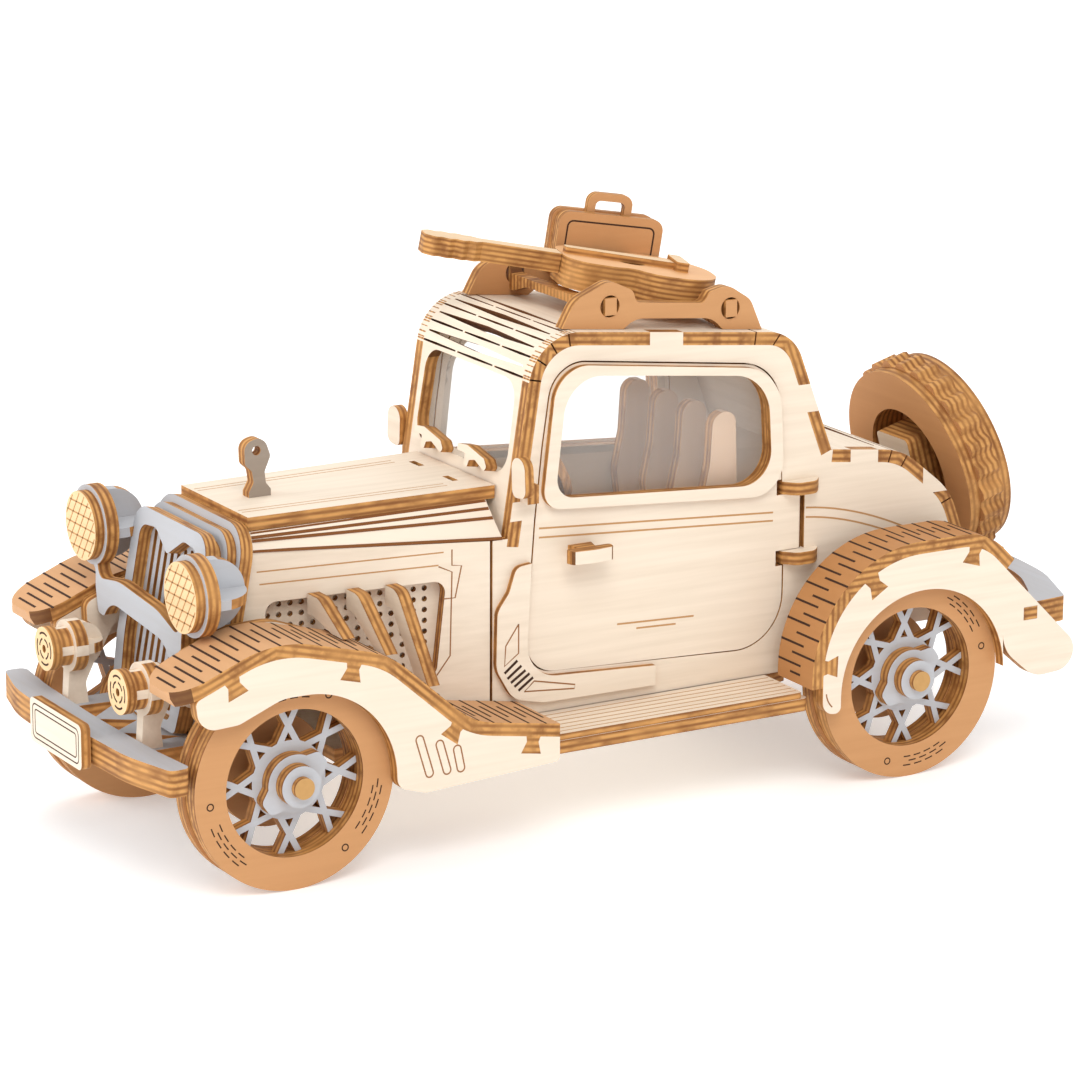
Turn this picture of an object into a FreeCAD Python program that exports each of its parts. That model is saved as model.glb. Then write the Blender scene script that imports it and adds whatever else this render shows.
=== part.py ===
"""Laser-cut plywood model of a 1930s coupe: a 3-D jigsaw of flat and kerf-bent plates.

Frame: +Z up, the car's front faces -Y and its left side faces +X.  The origin is on the
ground under the middle of the car's bounding box.  All sizes are in millimetres.
"""
import FreeCAD, Part
import math
import os
import Sketcher
from FreeCAD import Placement, Rotation, Vector

doc = FreeCAD.newDocument("plywood_coupe")
sheet = doc.addObject("Spreadsheet::Sheet", "Dims")

DIMENSIONS = {
    "ply": 2.0,                 # thickness of the main plywood sheet
    "thin": 1.0,                # thickness of the thin plywood sheet
    "mid": 1.5,                 # thickness of the lamp and shell plates
    "film": 0.5,                # clear plastic window film
    "seam": 0.25,               # saw gap around the doors
    "wheel_radius": 16.0,
    "tyre_hole": 11.0,
    "tyre_seat": 12.5,          # pocket in the middle tyre ply that holds the spoke plate
    "tread_radius": 15.5,
    "tyre_face": 27.6,          # outer face of a tyre from the car's middle plane
    "axle_height": 16.0,
    "axle_radius": 1.6,
    "axle_bore": 1.66,          # bearing hole in the frame plates
    "axle_reach": 30.6,         # end of the axle from the middle plane
    "front_axle": -59.0,
    "rear_axle": 47.7,
    "drum_radius": 8.5,
    "cap_radius": 4.3,
    "nut_radius": 3.1,
    "body_half": 17.0,          # outer face of the cabin sides
    "fender_face": 30.0,        # outer face of the fender side plates
    "rear_sheet_inner": 20.5,   # rear fender sheets stop short of the doors' swing
    "bonnet_half": 12.0,        # outer face of the bonnet sides at the radiator
    "bonnet_start": -59.0,
    "bonnet_end": -20.5,
    "bonnet_height": 51.2,      # top face of the bonnet
    "floor_height": 13.6,       # underside of the floor plate
    "sill_height": 16.6,        # lower edge of the cabin sides
    "hinge_y": 33.3,
    "hinge_low": 34.9,          # middle of the lower hinge leaf
    "hinge_high": 45.9,         # middle of the upper hinge leaf
    "pin_radius": 0.6,
    "pin_bore": 0.66,
    "grille_foot": -68.5,       # grille middle plane at its foot
    "grille_foot_height": 22.0,
    "grille_rake": 10.5,        # degrees the radiator leans back
    "lamp_spread": 16.7,
    "lamp_height": 44.0,
    "lamp_plane": -68.9,        # middle plane of the headlamp bracket
    "lamp_tilt": 5.0,           # degrees the bracket sits askew
    "fog_spread": 12.6,
    "fog_height": 28.7,
    "fog_plane": -78.8,
    "bumper_height": 17.2,
    "rear_bumper_height": 20.9,
    "rack_half": 15.0,
    "roof_pitch": 6.2,          # degrees the roof falls towards the rear
    "spare_y": 65.85,           # middle of the spare wheel's front face
    "spare_height": 41.4,
    "spare_lean": 16.0,         # degrees its top leans forwards
    "spare_tread": 17.0,
}
for row, (alias, value) in enumerate(DIMENSIONS.items(), start=1):
    sheet.set("A%d" % row, alias)
    sheet.set("B%d" % row, str(value))
    sheet.setAlias("B%d" % row, alias)
doc.recompute()

SIDES = (("left", 1), ("right", -1))
PLANE_ROLE = {"side": "YZ_Plane", "cross": "XZ_Plane", "flat": "XY_Plane"}
NORMAL_AXIS = {"side": "x", "cross": "y", "flat": "z"}
nodes = []


def dim(alias):
    """Value of one driving dimension."""
    return float(sheet.get(alias))


# ---------------------------------------------------------------- outlines
def offset(points, distance, closed=True):
    """Move a rounded outline sideways, to the right of its direction of travel."""
    moved = []
    count = len(points)
    for i, point in enumerate(points):
        a, b = point[0], point[1]
        radius = point[2] if len(point) > 2 else 0.0
        before = points[i - 1] if closed or i > 0 else None
        after = points[(i + 1) % count] if closed or i < count - 1 else None
        normals = []
        for start, end in ((before, point), (point, after)):
            if start is None or end is None:
                continue
            length = math.hypot(end[0] - start[0], end[1] - start[1])
            normals.append(((end[1] - start[1]) / length, -(end[0] - start[0]) / length))
        if len(normals) == 1:
            na, nb = normals[0]
            turn = 0.0
        else:
            (a1, b1), (a2, b2) = normals
            scale = 1.0 / (1.0 + a1 * a2 + b1 * b2)
            na, nb = (a1 + a2) * scale, (b1 + b2) * scale
            turn = a1 * b2 - b1 * a2
        if radius > 0.0:
            radius = max(radius + distance * math.copysign(1.0, turn), 0.2)
        moved.append((a + na * distance, b + nb * distance, radius))
    return moved


def band(path, thickness):
    """Closed outline of a bent sheet: the path is one face, the other is to its right."""
    return list(path) + offset(path, thickness, closed=False)[::-1]


def edges_of(points):
    """Lines and arcs of a closed outline of (a, b) or (a, b, corner radius) points."""
    corners = []
    count = len(points)
    for i, point in enumerate(points):
        here = Vector(point[0], point[1], 0)
        radius = point[2] if len(point) > 2 else 0.0
        if radius <= 0.0:
            corners.append((here, None, here))
            continue
        to_last = (Vector(points[i - 1][0], points[i - 1][1], 0) - here).normalize()
        to_next = (Vector(points[(i + 1) % count][0], points[(i + 1) % count][1], 0) - here).normalize()
        half = to_last.getAngle(to_next) / 2.0
        reach = radius / math.tan(half)
        middle = here + (to_last + to_next).normalize() * (radius / math.sin(half) - radius)
        corners.append((here + to_last * reach, middle, here + to_next * reach))
    edges = []
    for i, (start, middle, end) in enumerate(corners):
        if middle is not None:
            edges.append(Part.Arc(start, middle, end))
        following = corners[(i + 1) % count][0]
        if (following - end).Length > 1e-6:
            edges.append(Part.LineSegment(end, following))
    return edges


def mirrored(points):
    """Outline completed by its mirror image; points on the middle line are used once."""
    return list(points) + [(-p[0],) + tuple(p[1:]) for p in reversed(points) if p[0] != 0.0]


def circle(a, b, alias_or_value):
    """A round hole or disc; the radius is a driving dimension or a number."""
    return ("circle", a, b, alias_or_value)


# ---------------------------------------------------------------- pieces
def add_sketch(body, plane, wires, height=None):
    """Sketch on one of the body's own origin planes, raised along its normal."""
    sketch = body.newObject("Sketcher::SketchObject", body.Label + "_sketch")
    role = PLANE_ROLE[plane]
    support = [f for f in body.Origin.OriginFeatures if f.Role == role][0]
    sketch.AttachmentSupport = [(support, "")]
    sketch.MapMode = "FlatFace"
    if height is not None:
        sketch.setExpression(".AttachmentOffset.Base.z", height)
    for wire in wires:
        if wire[0] == "circle":
            _, a, b, radius = wire
            value = dim(radius) if isinstance(radius, str) else radius
            index = sketch.addGeometry(Part.Circle(Vector(a, b, 0), Vector(0, 0, 1), value), False)
            constraint = sketch.addConstraint(Sketcher.Constraint("Radius", index, value))
            if isinstance(radius, str):
                sketch.setExpression("Constraints[%d]" % constraint, "Dims." + radius)
        else:
            sketch.addGeometry(edges_of(wire), False)
    return sketch


def add_pad(body, plane, wires, length, height=None):
    """Pad equally to both sides of the sketch."""
    pad = body.newObject("PartDesign::Pad", body.Label + "_pad")
    pad.Profile = add_sketch(body, plane, wires, height)
    pad.SideType = "Symmetric"
    pad.setExpression("Length", length)
    return pad


def plate(label, plane, wires, at="0", thickness="Dims.ply"):
    """Flat piece cut from sheet: outline first, then its holes; `at` is its middle plane."""
    body = doc.addObject("PartDesign::Body", label)
    body.Label = label
    add_pad(body, plane, wires, thickness)
    if at is not None:
        body.setExpression(".Placement.Base." + NORMAL_AXIS[plane], at)
    return body


def place(body, x="0", y="0", z="0", axis=None, angle="0"):
    """Put a piece at a point of the frame, turned about an axis."""
    if axis is not None:
        body.Placement = Placement(Vector(0, 0, 0), Rotation(Vector(*axis), 1.0))
        body.setExpression(".Placement.Rotation.Angle", angle)
    for name, value in (("x", x), ("y", y), ("z", z)):
        body.setExpression(".Placement.Base." + name, value)
    return body


def block(label, low, high):
    """Plain rectangular cutter or bar between two corners."""
    box = doc.addObject("Part::Box", label)
    box.Length, box.Width, box.Height = [h - l for l, h in zip(low, high)]
    box.Placement.Base = Vector(*low)
    return box


def group(label, pieces):
    """Separate solids that share one node."""
    compound = doc.addObject("Part::Compound", label)
    compound.Label = label
    compound.Links = pieces
    return compound


def fuse(label, pieces):
    """One glued solid."""
    joined = doc.addObject("Part::MultiFuse", label)
    joined.Label = label
    joined.Shapes = pieces
    return joined


def cut(label, base, tool):
    """Base with the tool's space taken out."""
    result = doc.addObject("Part::Cut", label)
    result.Label = label
    result.Base = base
    result.Tool = tool
    return result


def node(piece, name=None):
    """Mark a piece as a sub-part of its own, named for its file."""
    if name is not None:
        piece.Label = name
    nodes.append(piece)
    return piece


# ---------------------------------------------------------------- side outlines (y, z)
ROOF_PATH = [(-18.1, 43.0), (-13.2, 74.9, 8.0), (32.0, 70.0, 7.0), (39.3, 50.8)]
DECK_PATH = [(39.6, 50.8), (52.5, 49.2, 12.0), (61.8, 41.5, 12.0), (70.0, 19.5)]
FRONT_ARCH_TOP = [(-77.8, 30.3), (-63.0, 36.4, 16.0), (-46.0, 32.0, 14.0), (-32.0, 19.6, 14.0), (-16.5, 17.0)]
REAR_ARCH_TOP = [(29.9, 17.4), (29.9, 36.2, 17.5), (59.0, 36.2, 9.0), (63.6, 31.6)]
DOOR = [(-15.0, 23.0, 5.0), (-13.2, 46.5, 3.0), (-12.0, 57.5, 20.0), (-10.1, 70.1, 5.5),
        (29.4, 65.2, 7.5), (30.2, 47.2), (29.4, 47.2), (29.4, 44.8), (33.3, 44.8), (33.3, 36.0), (29.4, 36.0),
        (29.4, 33.6), (30.6, 33.6), (30.6, 20.9, 8.0)]
WINDOW = [(-10.4, 49.6, 3.0), (-8.3, 68.0, 6.0), (26.9, 64.0, 7.0), (28.0, 46.9, 5.0)]
FRAME_RIM = [(-12.6, 48.1, 3.0), (-10.0, 69.8, 5.5), (29.1, 64.9, 7.5), (30.2, 44.9, 5.2)]


def build_chassis():
    """Floor plate with the running boards as wings, its treads, and the axle frame plates."""
    floor = [(-15.0, -46.0), (-15.0, -16.2), (-28.0, -16.2, 1.0), (-28.0, 28.6, 1.0),
             (-15.0, 28.6), (-13.0, 34.0)]
    node(plate("chassis_floor", "flat", [mirrored(floor)], "Dims.floor_height + Dims.ply / 2"))
    treads = []
    for name, side in SIDES:
        tread = [(side * 17.3, -16.2), (side * 17.3, 27.6), (side * 27.8, 27.6, 0.6),
                 (side * 27.8, -16.2, 0.6)]
        treads.append(plate("tread_" + name, "flat", [tread],
                            "Dims.floor_height + Dims.ply + Dims.thin / 2", "Dims.thin"))
    node(group("running_board_treads", treads))
    front_wall = [(-69.5, 25.8, 1.0), (-71.2, 26.5, 1.0), (-71.5, 34.0, 1.5), (-64.0, 37.0, 8.0),
                  (-57.0, 37.2, 8.0), (-50.0, 34.6, 6.0), (-38.0, 25.0), (-38.0, 15.6), (-44.3, 15.6),
                  (-44.3, 30.5, 14.4), (-67.0, 30.5, 2.0)]
    plates = []
    for name, side in SIDES:
        middle = "%d * (Dims.body_half - Dims.ply / 2)" % side
        frame = plate("front_frame_" + name, "side", [front_wall], middle)
        y, z = dim("front_axle"), dim("axle_height")
        strut = [(y - 5, 32.0), (y - 5, z - 4.8, 4.7), (y + 5, z - 4.8, 4.7), (y + 5, 32.0)]
        arm = plate("front_arm_" + name, "side", [strut, circle(y, z, "axle_bore")], middle)
        plates.append(fuse("front_frame_plate_" + name, [frame, arm]))
        y = dim("rear_axle")
        hanger = [(y - 6, 36.0), (y - 5, z - 4.8, 4.7), (y + 5, z - 4.8, 4.7), (y + 6, 36.0)]
        plates.append(plate("rear_frame_" + name, "side", [hanger, circle(y, z, "axle_bore")],
                            "%d * (Dims.body_half - 3 * Dims.ply / 2)" % side))
        lobe = [(-75.7, 31.05, 1.0), (-63.0, 36.25, 15.8), (-55.0, 34.15), (-58.0, 30.2), (-69.0, 27.2, 3.0),
                (-74.6, 27.4, 2.5)]
        plates.append(plate("front_lobe_" + name, "side", [lobe],
                            "%d * (Dims.body_half + 0.3 + Dims.ply / 2)" % side))
    node(group("axle_frames", plates))


def build_wheel_side(axle, side):
    """Tyre, spoke plate, hub cap and drum for one end of an axle."""
    y, z = dim(axle), dim("axle_height")
    name = axle.split("_")[0] + ("_left" if side > 0 else "_right")

    def at(distance):
        return "%d * (Dims.tyre_face - %s)" % (side, distance)

    outer = plate("tyre_outer_" + name, "side",
                  [circle(0, 0, "wheel_radius"), circle(0, 0, "tyre_hole")], at("Dims.ply / 2"))
    core = plate("tyre_core_" + name, "side",
                 [circle(0, 0, "tread_radius"), circle(0, 0, "tyre_seat")], at("3 * Dims.ply / 2"))
    inner = plate("tyre_inner_" + name, "side",
                  [circle(0, 0, "wheel_radius"), circle(0, 0, "tyre_hole")], at("5 * Dims.ply / 2"))
    spokes = spoke_plate("spokes_" + name, at("3 * Dims.ply / 2"))
    cap = hub_cap("cap_" + name, at("Dims.ply / 2"))
    nut = plate("nut_" + name, "side", [circle(0, 0, "nut_radius"), circle(0, 0, "axle_radius")],
                "%d * (Dims.tyre_face + Dims.ply / 2)" % side)
    drum = plate("drum_" + name, "side", [circle(0, 0, "drum_radius"), circle(0, 0, "axle_radius")],
                 at("4.2 * Dims.ply"))
    for piece in (outer, core, inner, spokes, cap, nut, drum):
        piece.setExpression(".Placement.Base.y", "Dims." + axle)
        piece.setExpression(".Placement.Base.z", "Dims.axle_height")
    return [outer, core, inner], spokes, [cap, nut], drum


def spoke_plate(label, at):
    """Wire-wheel plate: eight crossed pairs of spokes between a hub ring and a rim."""
    spoke_width, hub_outer, rim_inner, half_span = 0.95, 5.9, 11.1, 1.9
    body = doc.addObject("PartDesign::Body", label)
    body.Label = label
    add_pad(body, "side", [circle(0, 0, hub_outer), circle(0, 0, "axle_radius")], "Dims.ply")
    pattern_sources = []
    for direction in (-1, 1):
        reach = (direction * half_span, hub_outer - 1.4, -direction * half_span, rim_inner + 0.7)
        a1, b1, a2, b2 = reach
        length = math.hypot(a2 - a1, b2 - b1)
        na, nb = (b2 - b1) / length * spoke_width / 2, -(a2 - a1) / length * spoke_width / 2
        bar = [(a1 + na, b1 + nb), (a2 + na, b2 + nb), (a2 - na, b2 - nb), (a1 - na, b1 - nb)]
        pattern_sources.append(add_pad(body, "side", [bar], "Dims.ply"))
    doc.recompute()
    pattern = body.newObject("PartDesign::PolarPattern", label + "_pattern")
    pattern.Originals = pattern_sources
    axis = [f for f in body.Origin.OriginFeatures if f.Role == "X_Axis"][0]
    pattern.Axis = (axis, [""])
    pattern.Angle = 360
    pattern.Occurrences = 8
    body.Tip = pattern
    add_pad(body, "side", [circle(0, 0, "tyre_seat"), circle(0, 0, rim_inner)], "Dims.ply")
    body.setExpression(".Placement.Base.x", at)
    return body


def hub_cap(label, at):
    """Knock-off cap: a disc with two opposite ears."""
    body = doc.addObject("PartDesign::Body", label)
    body.Label = label
    add_pad(body, "side", [circle(0, 0, "cap_radius"), circle(0, 0, "axle_radius")], "Dims.ply")
    tilt = math.radians(35)
    for sign in (-1, 1):
        ear = []
        for along, across, radius in ((3.2, -2.4, 0), (5.7, -1.2, 1.0), (5.7, 1.2, 1.0), (3.2, 2.4, 0)):
            ear.append((sign * (along * math.cos(tilt) - across * math.sin(tilt)),
                        sign * (along * math.sin(tilt) + across * math.cos(tilt)), radius))
        add_pad(body, "side", [ear], "Dims.ply")
    body.setExpression(".Placement.Base.x", at)
    return body


def build_wheels():
    """Two wheelsets: each a dowel axle with a wheel pressed on each end."""
    for axle in ("front_axle", "rear_axle"):
        end = axle.split("_")[0]
        centres, drums = [], []
        for name, side in SIDES:
            tyre, spokes, cap, drum = build_wheel_side(axle, side)
            node(group("%s_tyre_%s" % (end, name), tyre))
            centres += [spokes] + cap
            drums.append(drum)
        dowel = plate(axle, "side", [circle(0, 0, "axle_radius")], "0", "2 * Dims.axle_reach")
        place(dowel, "0", "Dims." + axle, "Dims.axle_height")
        dowel.Label = end + "_axle_dowel"
        node(dowel)
        node(group(end + "_wheel_centres", centres))
        node(group(end + "_brake_discs", drums))


def build_front():
    """Bumper, its bracket, number plate, grille, radiator shell and all the lamps."""
    outline = mirrored([(0.0, -82.2, 90.0), (19.0, -81.4, 30.0), (28.5, -79.0, 1.2), (28.3, -75.7, 1.2),
                        (19.0, -76.6, 30.0), (0.0, -77.2, 90.0)])
    layers = []
    for layer in (0, 1):
        layers.append(plate("bumper_ply_%d" % layer, "flat", [outline],
                            "Dims.bumper_height + (%d + 0.5) * Dims.ply" % layer))
    node(group("front_bumper", layers))
    arm = [(6.0, -63.0), (14.6, -66.0, 1.0), (14.6, -76.5)]
    truss = [[(-10.6, -75.2), (-4.5, -75.2), (-10.2, -68.6)], [(4.5, -75.2), (10.6, -75.2), (10.2, -68.6)],
             [(-3.2, -75.2), (3.2, -75.2), (0.0, -70.6)], [(-9.2, -68.2), (-1.6, -69.8), (-4.4, -65.0)],
             [(1.6, -69.8), (9.2, -68.2), (4.4, -65.0)]]
    node(plate("bumper_bracket", "flat", [mirrored(arm)] + truss, "Dims.bumper_height + 0.8 * Dims.ply"))
    number_rim = mirrored([(8.8, 16.4, 1.0), (8.8, 23.2, 1.0)])
    node(plate("number_plate", "cross", [number_rim], "-82.2 - Dims.mid / 2", "Dims.mid"))

    def raked(piece, behind):
        """Lean a radiator plate back about the grille's foot, `behind` the grille plate."""
        return place(piece, "0", "Dims.grille_foot + (%s) * cos(Dims.grille_rake)" % behind,
                     "Dims.grille_foot_height - (%s) * sin(Dims.grille_rake)" % behind,
                     (-1, 0, 0), "Dims.grille_rake")

    rim = mirrored([(10.6, -1.9, 1.0), (11.9, 8.0, 20.0), (11.9, 27.6, 3.5)])
    heart = mirrored([(8.2, -0.5, 1.0), (9.5, 8.0, 20.0), (9.5, 24.9, 2.0), (4.6, 25.4, 2.5)])
    heart = heart[:4] + [(0.0, 22.4, 1.0)] + heart[4:]
    frame = node(raked(plate("grille_frame", "cross", [rim, heart]), "0"))
    slots = []
    slot_count, pitch, slot_half = 9, 2.0, 0.5
    for i in range(slot_count):
        x = (i - (slot_count - 1) / 2.0) * pitch
        top = 24.6 - 1.2 * (1 - abs(x) / 8.0)
        slots.append([(x - slot_half, 0.0, 0.45), (x - slot_half, top, 0.45),
                      (x + slot_half, top, 0.45), (x + slot_half, 0.0, 0.45)])
    comb = mirrored([(10.0, -1.8, 1.0), (11.2, 8.0, 20.0), (11.2, 26.6, 3.0)])
    slats = node(raked(plate("grille_slats", "cross", [comb] + slots, thickness="Dims.thin"),
                       "(Dims.ply + Dims.thin) / 2"))
    shell_front = mirrored([(11.4, -1.2, 1.0), (12.9, 8.0, 20.0), (12.9, 28.4, 4.2)])
    shell_back = mirrored([(12.4, -0.8, 1.0), (14.0, 8.0, 20.0), (14.0, 29.6, 5.0)])
    hollow = mirrored([(9.0, 2.0, 1.0), (10.2, 8.0, 15.0), (10.2, 24.0, 3.0)])
    front = raked(plate("shell_front", "cross", [shell_front, hollow], thickness="Dims.mid"),
                  "Dims.ply / 2 + Dims.thin + Dims.mid / 2")
    back = raked(plate("shell_back", "cross", [shell_back, hollow]),
                 "Dims.ply + Dims.thin + Dims.mid")
    node(group("radiator_shell", [front, back]))
    build_headlamps(group("radiator_plates", [front, back, frame, slats]))
    build_fog_lamps()


def build_headlamps(radiator):
    """Bracket plate with two discs on an arched bar, lenses in front and backs behind."""
    spread = dim("lamp_spread")

    def askew(piece, behind, side=0):
        """Place a lamp piece on the tilted bracket, `behind` the bracket plate."""
        x = "%d * Dims.lamp_spread * cos(Dims.lamp_tilt)" % side
        z = "Dims.lamp_height - %d * Dims.lamp_spread * sin(Dims.lamp_tilt)" % side
        return place(piece, x, "Dims.lamp_plane + " + behind, z, (0, 1, 0), "Dims.lamp_tilt")

    bar = mirrored([(11.2, -12.6, 1.0), (13.3, -12.6, 1.0), (14.3, -8.8), (14.4, -6.2, 1.0), (18.5, -4.0),
                    (14.6, -3.4), (13.0, -7.2, 1.5), (6.5, -5.6, 14.0)])
    bar += [(-9.5, -9.6, 5.0), (9.5, -9.6, 5.0)]
    bracket = plate("lamp_bar", "cross", [bar])
    for side in (1, -1):
        add_pad(bracket, "cross", [circle(side * spread, 0, 6.0)], "Dims.ply")
    node(askew(bracket, "0"), "headlamp_bracket")
    lenses, backs = [], []
    for name, side in SIDES:
        lens = plate("headlamp_lens_" + name, "cross", [circle(0, 0, 5.2)], thickness="Dims.mid")
        lenses.append(askew(lens, "-(Dims.ply + Dims.mid) / 2", side))
        half = [(0.0, -5.4), (0.0, 5.4), (6.4, 5.4, 5.3), (6.4, -5.4, 5.3)]
        upright = askew(plate("lamp_fin_" + name, "side", [half], thickness="Dims.mid"),
                        "Dims.ply / 2", side)
        half_flat = [(p[1], p[0]) + tuple(p[2:]) for p in half]
        shelf = askew(plate("lamp_shelf_" + name, "flat", [half_flat], thickness="Dims.mid"),
                      "Dims.ply / 2", side)
        lamp = fuse("headlamp_blank_" + name, [upright, shelf])
        backs.append(cut("headlamp_back_" + name, lamp, radiator))
    for name, side in SIDES:
        lens = plate("fog_lens_" + name, "cross", [circle(0, 0, 3.3), circle(0, 0, 0.6)],
                     thickness="Dims.mid")
        lenses.append(place(lens, "%d * Dims.fog_spread" % side, "Dims.fog_plane", "Dims.fog_height"))
    node(group("lamp_lenses", lenses))
    node(group("headlamp_backs", backs))


def build_fog_lamps():
    """Fog lamp bodies on short posts that stand on the bumper bracket."""
    lamps = []
    for name, side in SIDES:
        x = "%d * Dims.fog_spread" % side
        face = "Dims.fog_plane + Dims.mid / 2 + "
        neck = place(plate("fog_neck_" + name, "cross", [circle(0, 0, 2.9)]), x, face + "0.5 * Dims.ply",
                     "Dims.fog_height")
        bowl = place(plate("fog_bowl_" + name, "cross", [circle(0, 0, 3.9)]), x, face + "1.5 * Dims.ply",
                     "Dims.fog_height")
        half = [(0.0, -3.4), (0.0, 3.4), (3.6, 3.4, 3.2), (3.6, -3.4, 3.2)]
        upright = place(plate("fog_fin_" + name, "side", [half], thickness="Dims.mid"), x,
                        face + "2 * Dims.ply", "Dims.fog_height")
        half_flat = [(p[1], p[0]) + tuple(p[2:]) for p in half]
        shelf = place(plate("fog_shelf_" + name, "flat", [half_flat], thickness="Dims.mid"), x,
                      face + "2 * Dims.ply", "Dims.fog_height")
        foot = dim("bumper_height") + 1.3 * dim("ply")
        post = [(-76.4, foot), (-73.0, foot), (-73.4, 23.0, 2.0), (-71.4, 27.0), (-74.0, 28.0), (-76.0, 26.0)]
        stand = plate("fog_post_" + name, "side", [post], x)
        lamps.append(fuse("fog_lamp_" + name, [neck, bowl, upright, shelf, stand]))
    node(group("fog_lamp_bodies", lamps))


def build_bonnet():
    """Bonnet top, shoulders, angled sides with the vent opening, vents, pipes and mascot."""
    start, end = dim("bonnet_start"), dim("bonnet_end")
    top = mirrored([(10.9, start + 1.4), (11.9, -17.25)])
    slots = [[(x - 1.6, y - 0.5), (x + 1.6, y - 0.5), (x + 1.6, y + 0.5), (x - 1.6, y + 0.5)]
             for x, y in ((-5.2, -21.0), (5.2, -21.0))]
    mascot_slot = [(-1.02, -52.4), (-1.02, -48.8), (1.02, -48.8), (1.02, -52.4)]
    node(plate("bonnet_top", "flat", [top, mascot_slot] + slots, "Dims.bonnet_height - Dims.ply / 2"))
    spike = [(-52.4, 49.2), (-52.4, 52.0, 0.3), (-51.6, 53.4, 0.8), (-51.9, 55.2, 0.8), (-53.0, 56.2, 1.0),
             (-53.1, 59.4, 1.6), (-49.9, 60.4, 1.8), (-48.8, 57.2, 1.0), (-49.8, 54.9, 1.0),
             (-49.6, 53.2, 0.6), (-48.8, 52.2, 0.3), (-48.8, 49.2)]
    node(plate("bonnet_mascot", "side", [spike, circle(-51.1, 58.2, 0.7)]))
    bulkhead = mirrored([(14.8, 15.7), (14.8, 42.8), (12.8, 45.6), (10.6, 48.4)])
    node(plate("firewall", "cross", [bulkhead], "Dims.bonnet_end + 0.55 * Dims.ply"))
    angle = "atan((Dims.body_half - Dims.bonnet_half) / (Dims.bonnet_end - Dims.bonnet_start))"
    flare = (dim("body_half") - dim("bonnet_half")) / (end - start)
    run = (end - start) / math.cos(math.atan(flare)) - 0.3
    skirt = [(-3.1, 24.0), (1.2, 46.3), (run, 44.25), (run, 16.0), (run - 14.5, 16.0),
             (run - 16.0, 26.0), (run - 30.0, 31.0), (2.0, 31.0), (0.0, 24.0)]
    opening = [(3.4, 33.0, 0.6), (3.4, 38.6, 1.8), (31.6, 39.0, 1.8), (30.0, 24.6, 1.5), (run - 13.0, 24.6),
               (run - 14.6, 28.5), (run - 29.0, 33.0)]
    sides, vents, pipes = [], [], []
    for name, side in SIDES:
        skin = plate("bonnet_side_" + name, "side", [skirt, opening])
        place(skin, "%d * (Dims.bonnet_half - Dims.ply / 2)" % side, "Dims.bonnet_start", "0",
              (0, 0, -side), angle)
        sides.append(skin)
        back = [(2.4, 32.2), (2.4, 40.2), (33.0, 40.2), (32.6, 23.4), (run - 13.0, 23.4),
                (run - 15.6, 27.2), (run - 29.5, 32.2)]
        holes = []
        for column in range(15):
            for line in range(8):
                u, z = 4.6 + 1.75 * column, 37.6 - 1.65 * line
                if z > 34.2 or (u > 11.5 and z > 31.8) or (u > 17.0 and z > 29.2) or u > 24.0:
                    holes.append(circle(u, z, 0.42))
        vent = plate("vent_panel_" + name, "side", [back] + holes, thickness="Dims.thin")
        inset = "(Dims.bonnet_half - Dims.ply - Dims.thin / 2 - 0.02)"
        place(vent, "%d * %s" % (side, inset), "Dims.bonnet_start", "0", (0, 0, -side), angle)
        vents.append(vent)
        pipe_tips = ((-48.5, 22.8, 35.2), (-42.5, 24.6, 32.4), (-36.5, 26.2, 27.2))
        for i, (y, tip_x, tip_z) in enumerate(pipe_tips):
            root = dim("bonnet_half") + (y + 1.0 - start) * flare + 0.05
            pipe = [(root, 39.4), (root + 3.4, 39.4, 3.0), (tip_x + 1.7, tip_z), (tip_x - 1.7, tip_z),
                    (root + 2.0, 36.4, 1.2), (root, 36.4)]
            pipe = [(side * p[0],) + tuple(p[1:]) for p in pipe]
            pipes.append(plate("pipe_%s_%d" % (name, i), "cross", [pipe], str(y)))
    node(group("bonnet_sides", sides + vents))
    node(group("exhaust_pipes", pipes))
    build_shoulders()


def build_shoulders():
    """Two stepped strips each side that widen from the radiator to the cowl."""
    stations = ((dim("bonnet_start") + 1.4, ((11.3, 49.15), (11.9, 47.95), (12.2, 46.35)),
                 ((10.2, 49.0), (10.7, 47.6), (11.0, 46.35))),
                (-18.8, ((11.9, 49.15), (14.2, 46.9), (17.0, 44.3)),
                 ((11.0, 48.6), (13.4, 46.1), (15.4, 44.3))))
    strips = []
    for name, side in SIDES:
        for level in (0, 1):
            wires = []
            for y, outer, inner in stations:
                corners = [outer[level], outer[level + 1], inner[level + 1], inner[level]]
                points = [Vector(side * x, y, z) for x, z in corners]
                outline = doc.addObject("Part::Feature", "shoulder_section")
                outline.Shape = Part.makePolygon(points + [points[0]])
                wires.append(outline)
            loft = doc.addObject("Part::Loft", "shoulder_%d_%s" % (level, name))
            loft.Sections = wires
            loft.Solid = True
            loft.Ruled = True
            strips.append(loft)
    node(group("bonnet_shoulders", strips))


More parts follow.
